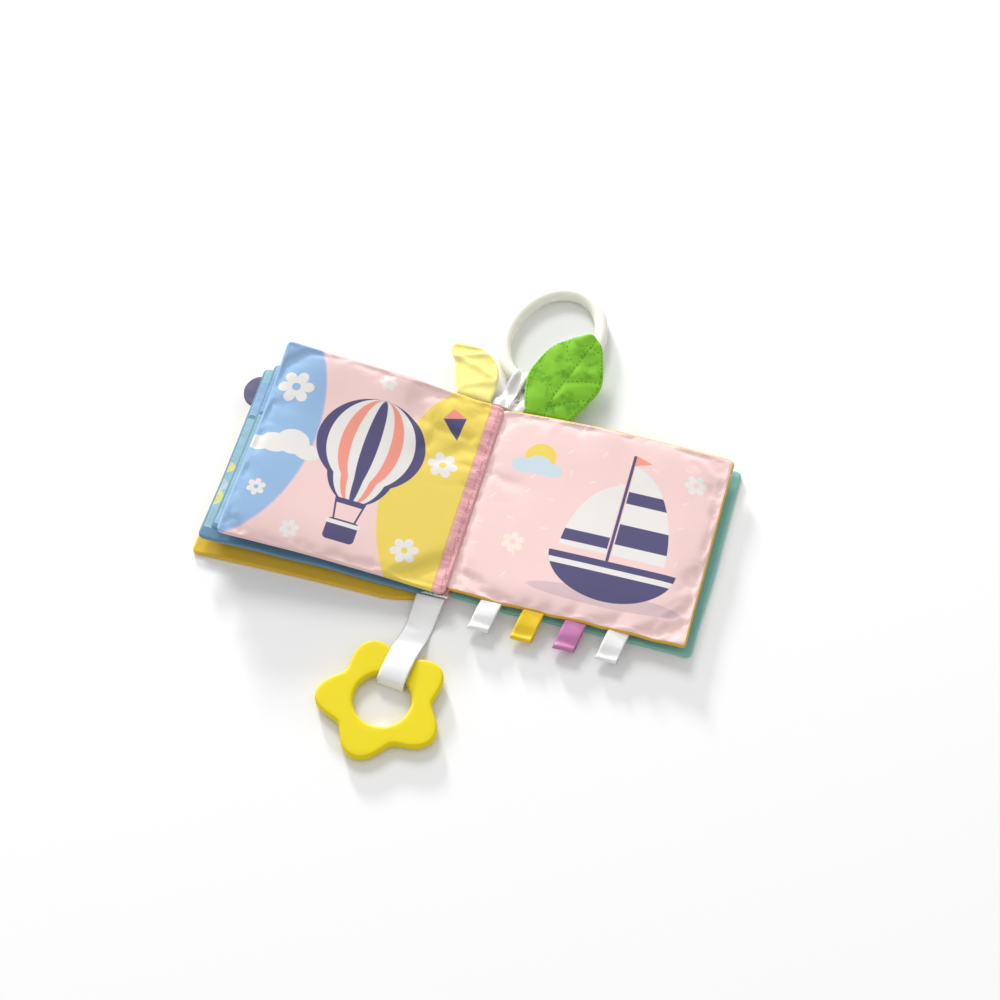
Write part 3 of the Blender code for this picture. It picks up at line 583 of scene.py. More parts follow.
def pad_mesh(name, middle, over, under, flat, back_over=None, face_under=None):
    """A closed pad: two skins over one grid, which meet in its rim.

    middle has the rim and the surface between the skins, over and under the skins' points, and flat
    the UV of each point. back_over says which cells of the upper skin show the back cloth, and
    face_under which cells of the lower skin show the face cloth.
    """
    rows, columns = middle.shape[:2]
    top = np.arange(rows * columns).reshape(rows, columns)
    bottom = top.copy()
    inner = np.arange((rows - 2) * (columns - 2)).reshape(rows - 2, columns - 2)
    bottom[1:-1, 1:-1] = inner + rows * columns
    upper = over.copy()
    rim = np.ones((rows, columns), bool)
    rim[1:-1, 1:-1] = False
    upper[rim] = middle[rim]
    points = np.concatenate([upper.reshape(-1, 3), under[1:-1, 1:-1].reshape(-1, 3)])
    faces = []
    shades = []
    for i in range(rows - 1):
        for j in range(columns - 1):
            faces.append((top[i, j], top[i, j + 1], top[i + 1, j + 1], top[i + 1, j]))
            shades.append(1 if back_over is not None and back_over[i, j] else 0)
            faces.append((bottom[i, j], bottom[i + 1, j], bottom[i + 1, j + 1], bottom[i, j + 1]))
            shades.append(0 if face_under is not None and face_under[i, j] else 1)
    mesh = bpy.data.meshes.new(name)
    mesh.from_pydata(points.tolist(), [], [tuple(int(k) for k in face) for face in faces])
    mesh.polygons.foreach_set("material_index", shades)
    outward(mesh)
    spread = np.concatenate([flat.reshape(-1, 2), flat[1:-1, 1:-1].reshape(-1, 2)])
    layer = mesh.uv_layers.new(name=FLAT_UV)
    corners = np.zeros(len(mesh.loops), int)
    mesh.loops.foreach_get("vertex_index", corners)
    layer.data.foreach_set("uv", spread[corners].astype(np.float32).ravel())
    return mesh


def one_cloth(mesh):
    """Gives both sides of a pad the same cloth."""
    mesh.polygons.foreach_set("material_index", [0] * len(mesh.polygons))
    return mesh


def grid_normals(grid):
    """Unit normals of a surface given as a grid of points."""
    along = np.gradient(grid, axis=0)
    across = np.gradient(grid, axis=1)
    normals = np.cross(along, across)
    return normals / np.maximum(np.linalg.norm(normals, axis=2, keepdims=True), 1e-12)


def band_mesh(name, grid, thickness, flat):
    """A thin closed band on both sides of a surface grid, with a rounded edge all round."""
    normals = grid_normals(grid) * thickness / 2
    return one_cloth(pad_mesh(name, grid, grid + normals, grid - normals, flat))


def smooth_between(values, count, knots=None):
    """Rows of values at even steps of a smooth curve through the given rows, which stand at the knots."""
    values = np.asarray(values, float)
    knots = np.arange(len(values), dtype=float) if knots is None else knots
    steps = np.linspace(knots[0], knots[-1], count)
    at = np.clip(np.searchsorted(knots, steps, side="right") - 1, 0, len(values) - 2)
    gap = (knots[at + 1] - knots[at])[:, None]
    part = (steps - knots[at])[:, None] / gap
    slope = np.gradient(values, knots, axis=0)
    square, cube = part ** 2, part ** 3
    near = (2 * cube - 3 * square + 1) * values[at] + (cube - 2 * square + part) * gap * slope[at]
    return near + (3 * square - 2 * cube) * values[at + 1] + (cube - square) * gap * slope[at + 1]


def fill_by_cloth(piece, held, pressure, spare, frames=20):
    """Where a closed piece's points go when its cloth, cut a little large, fills under pressure."""
    group = piece.vertex_groups.new(name="held")
    group.add([int(k) for k in np.flatnonzero(held)], 1.0, "REPLACE")
    modifier = piece.modifiers.new("Filling", "CLOTH")
    cloth = modifier.settings
    cloth.quality = 6
    cloth.mass = 0.15
    cloth.tension_stiffness = cloth.compression_stiffness = 12
    cloth.shear_stiffness = 5
    cloth.bending_stiffness = 0.05
    cloth.use_pressure = True
    cloth.uniform_pressure_force = pressure
    cloth.shrink_min = -spare
    cloth.vertex_group_mass = group.name
    cloth.effector_weights.gravity = 0
    modifier.collision_settings.use_collision = False
    modifier.point_cache.frame_start = 1
    modifier.point_cache.frame_end = frames
    scene = bpy.context.scene
    for step in range(1, frames + 1):
        scene.frame_set(step)
    filled = piece.evaluated_get(bpy.context.evaluated_depsgraph_get())
    points = np.array([v.co for v in filled.data.vertices])
    piece.modifiers.remove(modifier)
    piece.vertex_groups.remove(group)
    scene.frame_set(1)
    return points


def ease(share):
    """Smooth step from 0 to 1."""
    share = np.clip(share, 0, 1)
    return share * share * (3 - 2 * share)


class Leaf:
    """A leaf's place, outline, lift and swell, for the CAD cloths that its piece stands for."""

    def __init__(self, name, side, overhang=0.0, head_taper=0.0, head_lift=0.0, foot_drop=0.0, trims=None):
        self.name = name
        self.side = side
        self.overhang, self.head_taper = overhang, head_taper
        self.head_lift, self.foot_drop = head_lift, foot_drop
        self.trims = dict.fromkeys(("foot", "hip", "free", "corner", "bulge", "gather", "root"), 0.0)
        self.trims.update(trims or {})
        self.half_height = sizes().half_page + overhang
        points = cad_points(f"{name}_face_cloth", f"{name}_back_cloth")
        line = points[np.abs(points[:, 1]) < 0.0005]
        reach, line_reach = points[:, 0] * side, line[:, 0] * side
        root, free = points[reach < reach.min() + 0.0006], line[line_reach > line_reach.max() - 0.001]
        root_x, root_z = mid(root[:, 0]), mid(root[:, 2])
        free_z = mid(free[:, 2])
        run = mid(free[:, 0]) * side - root_x * side
        self.slope = math.atan2(free_z - root_z, run)
        self.length = math.hypot(run, free_z - root_z) + sizes().draw_in
        self.root = np.array((root_x, 0.0, root_z))
        self.ahead = np.array((side * math.cos(self.slope), 0.0, math.sin(self.slope)))
        self.up = np.array((-side * math.sin(self.slope), 0.0, math.cos(self.slope)))
        self.root = self.root - self.trims["root"] * self.ahead
        self.length += self.trims["root"]
        heights = (line - self.root) @ self.up
        self.half_seam = (root[:, 2].max() - root[:, 2].min()) / 2
        self.over_crown = heights.max() - self.half_seam
        self.under_crown = -heights.min() - self.half_seam

    def stops(self):
        """Distances from the root and from the middle line at which the mesh has its rows."""
        s = sizes()
        rim = s.seam_round * np.array((0.0, 0.1, 0.35, 0.7, 1.0, 1.5, 2.2))
        along = np.linspace(rim[-1], self.length - rim[-1], round(self.length / s.cell))
        u = np.concatenate([rim, along[1:-1], self.length - rim[::-1]])
        across = np.linspace(rim[-1] - self.half_height, self.half_height - rim[-1],
                             round(2 * self.half_height / s.cell))
        v = np.concatenate([rim - self.half_height, across[1:-1], self.half_height - rim[::-1]])
        return np.meshgrid(u, v, indexing="ij")

    def edge_distance(self, u, v):
        """Distance to the nearest edge. The root edge counts as nearer the spine, and stays sharp."""
        return np.minimum(np.minimum(3 * u, self.length - u), self.half_height - np.abs(v))

    def outline(self, u, v):
        """Rounds the square grid's corners, runs a cover and a head down, and draws the sides in."""
        s = sizes()
        near_end = np.where(u < self.length / 2, u, self.length - u)
        a = s.corner - near_end
        b = s.corner - (self.half_height - np.abs(v))
        corner = (a > 0) & (b > 0)
        twice = 2 * s.corner * s.corner
        round_a = a * np.sqrt(np.clip(1 - b * b / twice, 0, 1))
        round_b = b * np.sqrt(np.clip(1 - a * a / twice, 0, 1))
        new_end = np.where(corner, s.corner - round_a, near_end)
        v = np.where(corner, np.copysign(self.half_height - s.corner + round_b, v), v)
        u = np.where(u < self.length / 2, new_end, self.length - new_end)
        v = v * (1 - self.overhang / self.half_height * (1 - ease(u / s.taper)))
        run_down = self.head_taper / self.half_height * ease(2 * u / self.length - 1)
        v = np.where(v > 0, v * (1 - run_down), v)
        along, across = u / self.length, v / self.half_height
        v = v - across * s.draw_in * np.sin(math.pi * along)
        u = u - along * s.draw_in * np.cos(math.pi / 2 * across)
        cut = self.trims
        shorter = (cut["foot"] + cut["hip"] * (1 - ease(u / 0.035))) / self.half_height
        v = np.where(v < 0, v * (1 - shorter), v)
        v = v + 0.4 * cut["gather"] * ripple(np.stack([u, 0 * u], -1), 0.010, 9) * ease(-4 * across - 3)
        v = np.where(v > 0, v + across * cut["bulge"] / 2 * np.sin(math.pi * along), v)
        u = u - along * (cut["free"] + cut["corner"] * ease(-across))
        return u, v

    def lift(self, u, v):
        """How far the middle of the leaf leaves its plane: up at the head and down at the foot."""
        share = np.clip(np.abs(v) / self.half_height, 0, 1) ** 2
        head = self.head_lift * ease((u / self.length - 0.08) / 0.42)
        foot = -self.foot_drop * ease(2 * u / self.length - 1)
        head = head + self.trims["bulge"] * np.sin(math.pi * np.clip(u / self.length, 0, 1))
        return share * np.where(v > 0, head, foot)

    def swell(self, u, v):
        """0 on the seams and 1 over the full part of the filling."""
        s = sizes()
        root = np.clip((u - s.seam_width) / (s.full_at - s.seam_width), 0, 1)
        free = np.clip((self.length - s.seam_width - u) / s.ramp, 0, 1)
        end = np.clip((self.half_height - s.seam_width - np.abs(v)) / s.ramp, 0, 1)
        return root * np.sin(math.pi / 2 * free) * np.sin(math.pi / 2 * end)

    def at(self, u, v, height):
        """Frame points of distances along the leaf, along the spine and square to the leaf."""
        return (self.root + u[..., None] * self.ahead + v[..., None] * np.array((0.0, 1.0, 0.0))
                + height[..., None] * self.up)


def gutter_folds(leaf, u, v, seed):
    """Soft folds that run out of the gutter and die away over the page."""
    folds = np.zeros_like(u)
    rng = np.random.default_rng(seed)
    for start in (0.049, 0.040, 0.031, 0.022, 0.013, 0.004, -0.006, -0.018, -0.031, -0.043, -0.052):
        reach = rng.uniform(0.016, 0.042)
        lean = rng.uniform(-0.30, 0.12)
        wide = rng.uniform(0.0013, 0.0030)
        height = rng.uniform(0.5, 1.0)
        line = v - (start + lean * u)
        ridge = np.exp(-(line / (wide * (1 + u / reach))) ** 2)
        folds += height * ridge * np.exp(-(u / reach) ** 2) * np.clip(u / 0.004, 0, 1)
    return sizes().fold * (folds - 0.35 * np.exp(-(u / 0.03) ** 2))


def seam_puckers(leaf, u, v, seed):
    """Short puckers that run square to the sewn edges."""
    to_end = leaf.half_height - np.abs(v)
    to_free = leaf.length - u
    ends = np.exp(-(to_end / 0.006) ** 2) * ripple(np.stack([u, np.sign(v) * 0.05], -1), 0.0045, seed)
    free = np.exp(-(to_free / 0.006) ** 2) * ripple(np.stack([v, np.full_like(v, 0.3)], -1), 0.0050, seed + 1)
    root = np.exp(-(u / 0.005) ** 2) * ripple(np.stack([v, np.full_like(v, 0.7)], -1), 0.0024, seed + 2)
    return sizes().pucker * (ends + free + 1.6 * root)


def page_relief(leaf, u, v, seed, folds, limit):
    """All the small forms of one side of a page, kept within a limit and nil on the very edge."""
    place = np.stack([u, v], -1)
    broad = 0.35 * ripple(place, 0.030, seed) + 0.25 * ripple(place, 0.012, seed + 5)
    relief = seam_puckers(leaf, u, v, seed) + sizes().pucker * broad
    if folds:
        relief = relief + gutter_folds(leaf, u, v, seed)
    edge = np.clip(leaf.edge_distance(u, v) / sizes().seam_round, 0, 1)
    return limit * np.tanh(relief / limit) * edge


def cloth_rise(leaf, middle, upper, lower, flat, distance):
    """How far a filled page's two skins move out when its cloth is simulated."""
    mesh = pad_mesh(leaf.name, middle, upper, lower, flat)
    trial = bpy.data.objects.new(leaf.name, mesh)
    bpy.context.scene.collection.objects.link(trial)
    rows, columns = distance.shape
    held = np.concatenate([distance.ravel(), distance[1:-1, 1:-1].ravel()]) < sizes().seam_round * 1.4
    moved = fill_by_cloth(trial, held, 4.0, 0.03)
    rest = np.array([vertex.co for vertex in mesh.vertices])
    rise = (moved - rest) @ leaf.up
    bpy.data.objects.remove(trial)
    over, under = np.zeros_like(distance), np.zeros_like(distance)
    over[...] = rise[:rows * columns].reshape(rows, columns)
    under[1:-1, 1:-1] = -rise[rows * columns:].reshape(rows - 2, columns - 2)
    return over, under


def page_mesh(leaf, seed, over_limit, under_limit, wave, wave_seed, folds, cloth_fill, rim):
    """A page or cover as a soft closed pad, filled by a cloth simulation where it shows most."""
    s = sizes()
    u, v = leaf.stops()
    distance = leaf.edge_distance(u, v)
    flat_u, flat_v = leaf.outline(u, v)
    share = np.clip(distance / s.seam_round, 0, 1)
    edge = leaf.half_seam * np.sqrt(np.clip(1 - (1 - share) ** 2, 0, 1))
    swell = leaf.swell(u, v)
    away = np.clip(u / 0.03, 0, 1) ** 2
    waves = ripple(np.stack([flat_u, flat_v], -1), 0.022, wave_seed)
    lift = leaf.lift(u, v) + wave * away * np.exp(-(distance / 0.02) ** 2) * waves
    near_foot = np.exp(-((leaf.half_height + v) / 0.006) ** 2) * np.clip(u / 0.01, 0, 1)
    lift = lift + leaf.trims["gather"] * near_foot * ripple(np.stack([flat_u, 0 * flat_v], -1), 0.0085, 4)
    over, under = edge + leaf.over_crown * swell, edge + leaf.under_crown * swell
    middle = leaf.at(flat_u, flat_v, lift)
    flat = np.stack([leaf.side * flat_u, flat_v], -1)
    puff_over, puff_under = np.zeros_like(u), np.zeros_like(u)
    if cloth_fill:
        upper, lower = leaf.at(flat_u, flat_v, lift + over), leaf.at(flat_u, flat_v, lift - under)
        puff_over, puff_under = cloth_rise(leaf, middle, upper, lower, flat, distance)
    relief_over = page_relief(leaf, u, v, seed, folds, over_limit)
    relief_under = page_relief(leaf, u, v, seed + 20, False, under_limit)
    total_over = over_limit * np.tanh((relief_over + puff_over) / over_limit)
    total_under = under_limit * np.tanh((relief_under + puff_under) / under_limit)
    cell_distance = (distance[:-1, :-1] + distance[1:, 1:]) / 2
    back_over = cell_distance < rim * s.seam_round
    face_under = cell_distance < -rim * s.seam_round
    return pad_mesh(leaf.name, middle, leaf.at(flat_u, flat_v, lift + over + total_over),
                    leaf.at(flat_u, flat_v, lift - under - total_under), flat, back_over, face_under)


def stitch_tree():
    """Geometry nodes: every curve becomes a row of thread stitches."""
    found = bpy.data.node_groups.get("Thread Stitches")
    if found:
        return found
    tree = bpy.data.node_groups.new("Thread Stitches", "GeometryNodeTree")
    tree.interface.new_socket("Geometry", in_out="INPUT", socket_type="NodeSocketGeometry")
    for label, value in (("Stitch Length", 0.002), ("Stitch Gap", 0.0008), ("Thread Width", 0.0004)):
        socket = tree.interface.new_socket(label, in_out="INPUT", socket_type="NodeSocketFloat")
        socket.default_value = value
    tree.interface.new_socket("Thread", in_out="INPUT", socket_type="NodeSocketMaterial")
    tree.interface.new_socket("Geometry", in_out="OUTPUT", socket_type="NodeSocketGeometry")
    w = Wires(tree)
    start = tree.nodes.new("NodeGroupInput").outputs
    end = tree.nodes.new("NodeGroupOutput").inputs
    pitch = w.math("ADD", start["Stitch Length"], start["Stitch Gap"])
    spaced = w.node("GeometryNodeResampleCurve", {"mode": "LENGTH"},
                    {"Curve": start["Geometry"], "Length": pitch})[0]
    knot = w.node("GeometryNodeMeshUVSphere", None, {"Segments": 6, "Rings": 5, "Radius": 0.5})[0]
    jitter = w.node("FunctionNodeRandomValue", {"data_type": "FLOAT"},
                    {"Min": 0.88, "Max": 1.1, "Seed": 11})[1]
    long = w.math("MULTIPLY", start["Stitch Length"], jitter)
    size = w.join(long, start["Thread Width"], start["Thread Width"])
    tangent = w.node("GeometryNodeInputTangent")[0]
    turned = w.node("FunctionNodeAlignRotationToVector", {"axis": "X"}, {"Vector": tangent})[0]
    placed = w.node("GeometryNodeInstanceOnPoints", None, {
        "Points": spaced, "Instance": knot, "Rotation": turned, "Scale": size})[0]
    real = w.node("GeometryNodeRealizeInstances", None, {0: placed})[0]
    smooth = w.node("GeometryNodeSetShadeSmooth", None, {0: real})[0]
    dressed = w.node("GeometryNodeSetMaterial", None, {"Geometry": smooth, "Material": start["Thread"]})
    w.feed(end["Geometry"], dressed[0])
    return tree


def sew(name, paths, body, material, length, gap, width):
    """Rows of stitches along paths, made by geometry nodes and kept as one plain mesh."""
    curve = bpy.data.curves.new(name, "CURVE")
    curve.dimensions = "3D"
    for path in paths:
        spline = curve.splines.new("POLY")
        spline.points.add(len(path) - 1)
        spline.points.foreach_set("co", np.column_stack([path, np.ones(len(path))]).ravel())
    guide = bpy.data.objects.new(name + "_guide", curve)
    bpy.context.scene.collection.objects.link(guide)
    modifier = guide.modifiers.new("Stitches", "NODES")
    tree = stitch_tree()
    modifier.node_group = tree
    values = {"Stitch Length": length, "Stitch Gap": gap, "Thread Width": width, "Thread": material}
    for item in tree.interface.items_tree:
        if item.in_out == "INPUT" and item.name in values:
            modifier[item.identifier] = values[item.name]
    graph = bpy.context.evaluated_depsgraph_get()
    mesh = bpy.data.meshes.new_from_object(guide.evaluated_get(graph), depsgraph=graph)
    mesh.name = name
    bpy.data.objects.remove(guide)
    mesh.materials.clear()
    return new_piece(name, mesh, [material], body)


def surface_under(piece):
    """A function that gives the point of a piece's upper surface at frame x and y, and its normal."""
    tree = BVHTree.FromPolygons([v.co.copy() for v in piece.data.vertices],
                                [tuple(p.vertices) for p in piece.data.polygons])

    def drop(x, y):
        hit, normal, _, _ = tree.ray_cast(Vector((x, y, 0.2)), Vector((0, 0, -1)))
        return (hit, normal) if hit else (None, None)

    return drop


def on_surface(piece, points, lift):
    """Points of a path laid on a piece's upper surface and raised a little from it."""
    drop = surface_under(piece)
    laid = []
    for x, y in points:
        hit, normal = drop(x, y)
        if hit is not None:
            laid.append(hit + normal * lift)
    return np.array(laid)


class PagePlan:
    """How one page or cover is made: its CAD, its cloths, and how soft its forms are."""

    def __init__(self, side, body, slot, face, back, seed, overhang=0.0, head_taper=0.0, head_lift=0.0,
                 foot_drop=0.0, relief=0.00014, under_relief=0.00014, wave=0.0, wave_seed=0, folds=False,
                 cloth_fill=False, rim=0.0, trims=None):
        self.side, self.body, self.slot = side, body, slot
        self.face, self.back = face, back
        self.seed, self.wave, self.wave_seed = seed, wave, wave_seed
        self.outline = overhang, head_taper, head_lift, foot_drop, trims
        self.relief, self.under_relief = relief, under_relief
        self.folds, self.cloth_fill, self.rim = folds, cloth_fill, rim


def page_plans():
    """The six pages by name. A rim above 0 shows the back cloth on top, and below 0 the face cloth under."""
    s = sizes()
    mustard, blue_shade_and_print, teal = plain_ground("mustard"), plain_ground("blue_shade_and_print"), plain_ground("teal")
    return {
        "left_cover": PagePlan(-1, "spine_and_left_cover", "mustard_cloth", mustard, mustard, 3,
                               s.left_overhang, s.cover_taper_at_head, relief=0.0006,
                               under_relief=0.00005),
        # For the two lower leaves the slate-blue back cloth, shown over the upper rim, is painted shade of
        # their light teal edges.
        "left_leaf_1": PagePlan(-1, "left_leaf_1", "light_teal_cloth", lower_page_print, blue_shade_and_print, 5,
                                head_taper=s.leaf_taper_at_head, wave=0.0010, wave_seed=16, rim=0.9),
        "left_leaf_2": PagePlan(-1, "left_leaf_2", "light_teal_cloth", lower_page_print, blue_shade_and_print, 7,
                                head_taper=s.leaf_taper_at_head, wave=0.00055, wave_seed=16, rim=0.9,
                                trims={"foot": 0.0030}),
        "left_leaf_3": PagePlan(-1, "left_leaf_3", "page_cloth", left_page_print,
                                dotted_ground("blue", "off_white"), 11, head_lift=s.head_lift,
                                foot_drop=s.foot_drop, relief=0.0011, wave=0.0004, wave_seed=20,
                                folds=True, cloth_fill=True, rim=-0.8, trims={"root": 0.0010}),
        "right_leaf": PagePlan(1, "right_leaf", "pink_cloth", right_page_print,
                               dotted_ground("underside", "off_white"), 13, relief=0.0010, wave=0.0007,
                               wave_seed=22, folds=True, cloth_fill=True, rim=0.75,
                               trims={"foot": 0.0030, "hip": 0.0014, "corner": 0.0012, "bulge": 0.0025,
                                      "gather": 0.0013, "root": 0.0006}),
        "right_cover": PagePlan(1, "right_cover", "teal_cloth", teal, teal, 17, -s.right_inset,
                                relief=0.0004, under_relief=0.00005,
                                trims={"hip": 0.0040, "free": 0.0012, "corner": 0.0024, "gather": 0.0006}),
    }


class CLOTHBOOK_OT_pages(bpy.types.Operator):
    """Makes the four leaves and two covers as soft printed pads"""

    bl_idname = "clothbook.pages"
    bl_label = "Pages and Covers"

    def execute(self, context):
        for name, plan in page_plans().items():
            leaf = Leaf(name, plan.side, *plan.outline)
            mesh = page_mesh(leaf, plan.seed, plan.relief, plan.under_relief, plan.wave, plan.wave_seed,
                             plan.folds, plan.cloth_fill, plan.rim)
            materials = [cloth_material(name + "_face", plan.face), cloth_material(name + "_back", plan.back)]
            page = new_piece(name + "_pad", mesh, materials, plan.body)
            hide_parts(*(f"{name}_{layer}" for layer in LAYERS))
        return {"FINISHED"}


class CLOTHBOOK_OT_stitches(bpy.types.Operator):
    """Sews the gutter, the head of the right page and the edges of the lower pages"""

    bl_idname = "clothbook.stitches"
    bl_label = "Page Stitches"

    def execute(self, context):
        s = sizes()
        half = s.half_page - 0.0010
        left, right = bpy.data.objects["left_leaf_3_pad"], bpy.data.objects["right_leaf_pad"]
        pink = thread_material("pink_thread", "pink_thread")
        for name, inset, zigzag, long in (("gutter_stitches", 0.0012, 0.0013, 0.0012),
                                          ("gutter_gathers", 0.0061, 0.0002, 0.0008)):
            path = [(-inset - zigzag * (k % 2), -half + 2 * half * k / 150) for k in range(151)]
            sew(name, [on_surface(left, path, 0.0)], "left_leaf_3", pink, long, 0.0005, s.thread)
        white = thread_material("white_thread", "satin")
        seam = [(x, s.half_page - 0.0012) for x in np.linspace(0.004, 0.052, 40)]
        sew("head_stitches", [on_surface(right, seam, 0.0)], "right_leaf", white, 0.0020, 0.0007, s.thread)
        pale = thread_material("pale_thread", "sky")
        for name in ("left_leaf_1", "left_leaf_2"):
            page = bpy.data.objects[name + "_pad"]
            reach = max(abs(corner[0]) for corner in page.bound_box)
            line = on_surface(page, [(0.0024 - reach, y) for y in np.linspace(-0.050, 0.046, 70)], -0.0001)
            sew(name + "_edge_stitches", [line], name, pale, 0.0022, 0.0006, s.thread)
        return {"FINISHED"}


def spine_mesh():
    """The sewn strip between the leaves' roots: a soft bar with gathered ends."""
    low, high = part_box("spine_strip")
    stations, sides = 90, 20
    middle_z, half_z, half_x = (low.z + high.z) / 2, (high.z - low.z) / 2, (high.x - low.x) / 2
    rings = []
    for k in range(stations):
        y = low.y + (high.y - low.y) * k / (stations - 1)
        to_end = min(y - low.y, high.y - y)
        pinch = math.sqrt(1 - (1 - min(to_end / 0.002, 1)) ** 2)
        ring = []
        for m in range(sides):
            turn = 2 * math.pi * m / sides
            x = math.copysign(abs(math.cos(turn)) ** 0.6, math.cos(turn))
            z = math.copysign(abs(math.sin(turn)) ** 0.5, math.sin(turn))
            fold = 1 - 0.10 * (0.5 + 0.5 * noise.noise(Vector((x * 2, y / 0.004, z * 2))))
            width, height = half_x * fold * max(pinch, 0.05), half_z * fold * max(pinch, 0.3)
            ring.append((x * width, y, middle_z + z * height))
        rings.append(ring)
    return tube_mesh("spine", rings)


def tube_mesh(name, rings, closed=False):
    """A tube through rings of points, with capped ends or joined in a loop."""
    count, sides = len(rings), len(rings[0])
    points = [point for ring in rings for point in ring]
    faces = []
    for k in range(count if closed else count - 1):
        following = (k + 1) % count
        for m in range(sides):
            n = (m + 1) % sides
            faces.append((k * sides + m, k * sides + n, following * sides + n, following * sides + m))
    if not closed:
        faces.append(tuple(range(sides)))
        faces.append(tuple(range((count - 1) * sides, count * sides)))
    mesh = bpy.data.meshes.new(name)
    mesh.from_pydata([tuple(map(float, point)) for point in points], [], faces)
    outward(mesh)
    layer = mesh.uv_layers.new(name=FLAT_UV)
    corners = np.zeros(len(mesh.loops), int)
    mesh.loops.foreach_get("vertex_index", corners)
    place = np.array(points, float)[:, [1, 2]]
    layer.data.foreach_set("uv", place[corners].astype(np.float32).ravel())
    return mesh


class CLOTHBOOK_OT_spine(bpy.types.Operator):
    """Makes the sewn spine between the leaves' roots"""

    bl_idname = "clothbook.spine"
    bl_label = "Spine"

    def execute(self, context):
        # The spine's cloth is in the darker gutter pink, whose darkness is painted shade of the gutter.
        material = cloth_material("spine_cloth", plain_ground("gutter"))
        spine = new_piece("spine", spine_mesh(), [material], "spine_and_left_cover")
        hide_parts("spine_strip")
        return {"FINISHED"}


class CLOTHBOOK_OT_foot_folds(bpy.types.Operator):
    """Makes the small gathered cloth ends at the foot of the spine"""

    bl_idname = "clothbook.foot_folds"
    bl_label = "Foot Folds"

    def execute(self, context):
        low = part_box("teether_ribbon")[1].z + 0.0004
        ends = ((-0.0105, -0.0030, 0.0088, "sky", "left_leaf_1"),
                (-0.0045, 0.0020, 0.0094, "off_white", "spine_and_left_cover"))
        for number, (left, right, high, colour, body) in enumerate(ends, start=1):
            across, up = np.meshgrid(np.linspace(0, 1, 60), np.linspace(0, 1, 14), indexing="ij")
            x = left + (right - left) * across + 0.0010 * np.sin(2.2 * math.pi * up + number)
            pleat = np.cos(2 * math.pi * (3.4 * across + 0.45 * up * number))
            z = low + (high - low) * up * (0.82 + 0.18 * np.sin(math.pi * across))
            y = -0.0584 - 0.0002 * number - 0.36 * (z - low) + 0.0005 * pleat * up
            grid = np.stack([x, y, z], -1)
            flat = np.stack([0.008 * across, 0.006 * up], -1)
            mesh = band_mesh(f"foot_folds_{number}", grid, 0.0005, flat)
            # Painted shade: slate-blue patches over the folded cloth ends.
            cloth = cloth_material(f"foot_folds_{number}_cloth", fold_shaded_ground(colour, "blue_shade_and_print"), 0.2)
            new_piece(f"foot_folds_{number}", mesh, [cloth], body)
        return {"FINISHED"}


class TabShape:
    """A cloth tab's middle surface, on smooth curves through the rows of its CAD cloths."""

    def __init__(self, name):
        points = cad_points(f"{name}_face_cloth", f"{name}_back_cloth")
        points = points[points[:, 1].argsort()]
        rows = []
        for row in np.split(points, np.flatnonzero(np.diff(points[:, 1]) > 0.0002) + 1):
            left, right = row[:, 0].min(), row[:, 0].max()
            near = (right - left) * 0.12
            places = (left, (left + right) / 2, right)
            heights = [row[np.abs(row[:, 0] - x) < near][:, 2].mean() for x in places]
            rows.append((left, right, *heights))
        self.base, self.end = points[0, 1], points[-1, 1]
        self.shares = np.linspace(0, 1, 240)
        self.left, self.right, self.left_z, self.middle_z, self.right_z = smooth_between(rows, 240).T

    def row(self, values, t):
        return np.interp(t, self.shares, values)

    def point(self, s, t):
        """A point of the middle surface: s across from -1 to 1, t from the root to the tip."""
        share = (1 + s) / 2
        x = self.row(self.left, t) * (1 - share) + self.row(self.right, t) * share
        y = self.base + (self.end - self.base) * np.sin(math.pi / 2 * t)
        sides = self.row(self.left_z, t) * (1 - share) + self.row(self.right_z, t) * share
        arch = self.row(self.middle_z, t) - (self.row(self.left_z, t) + self.row(self.right_z, t)) / 2
        return np.stack([x, y, sides + arch * (1 - s * s)], -1)

    def grid(self):
        """Shares across and along, the middle surface, and a rim that is 0 on the edge and 1 inside."""
        s, t = np.meshgrid(np.sin(np.linspace(-math.pi / 2, math.pi / 2, 64)), np.linspace(0, 1, 76),
                           indexing="ij")
        middle = self.point(s, t)
        to_side = (1 - np.abs(s)) * (self.row(self.right, t) - self.row(self.left, t)) / 2
        to_end = np.minimum(middle[..., 1] - self.base, self.end - middle[..., 1])
        inside = np.clip(np.minimum(to_side, to_end) / 0.0016, 0, 1)
        return s, t, middle, np.sqrt(1 - (1 - inside) ** 2)


VEINS = (
    ((-0.14, 0.02), (-0.09, 0.15), (0.13, 0.39), (0.56, 0.76)),
    ((-0.12, 0.17), (-0.50, 0.28), (-0.88, 0.40)),
    ((0.12, 0.28), (0.52, 0.31), (0.93, 0.33)),
    ((-0.16, 0.06), (0.40, 0.13), (0.92, 0.18)),
    ((0.06, 0.44), (-0.30, 0.54), (-0.64, 0.66)),
    ((0.22, 0.66), (0.50, 0.65), (0.80, 0.62)),
)


def vein_distance(middle, paths):
    """Distance in metres from each point of a surface to the nearest sewn vein."""
    nearest = np.full(middle.shape[:2], 1.0)
    for path in paths:
        for spot in path:
            nearest = np.minimum(nearest, np.linalg.norm(middle - spot, axis=-1))
    return nearest


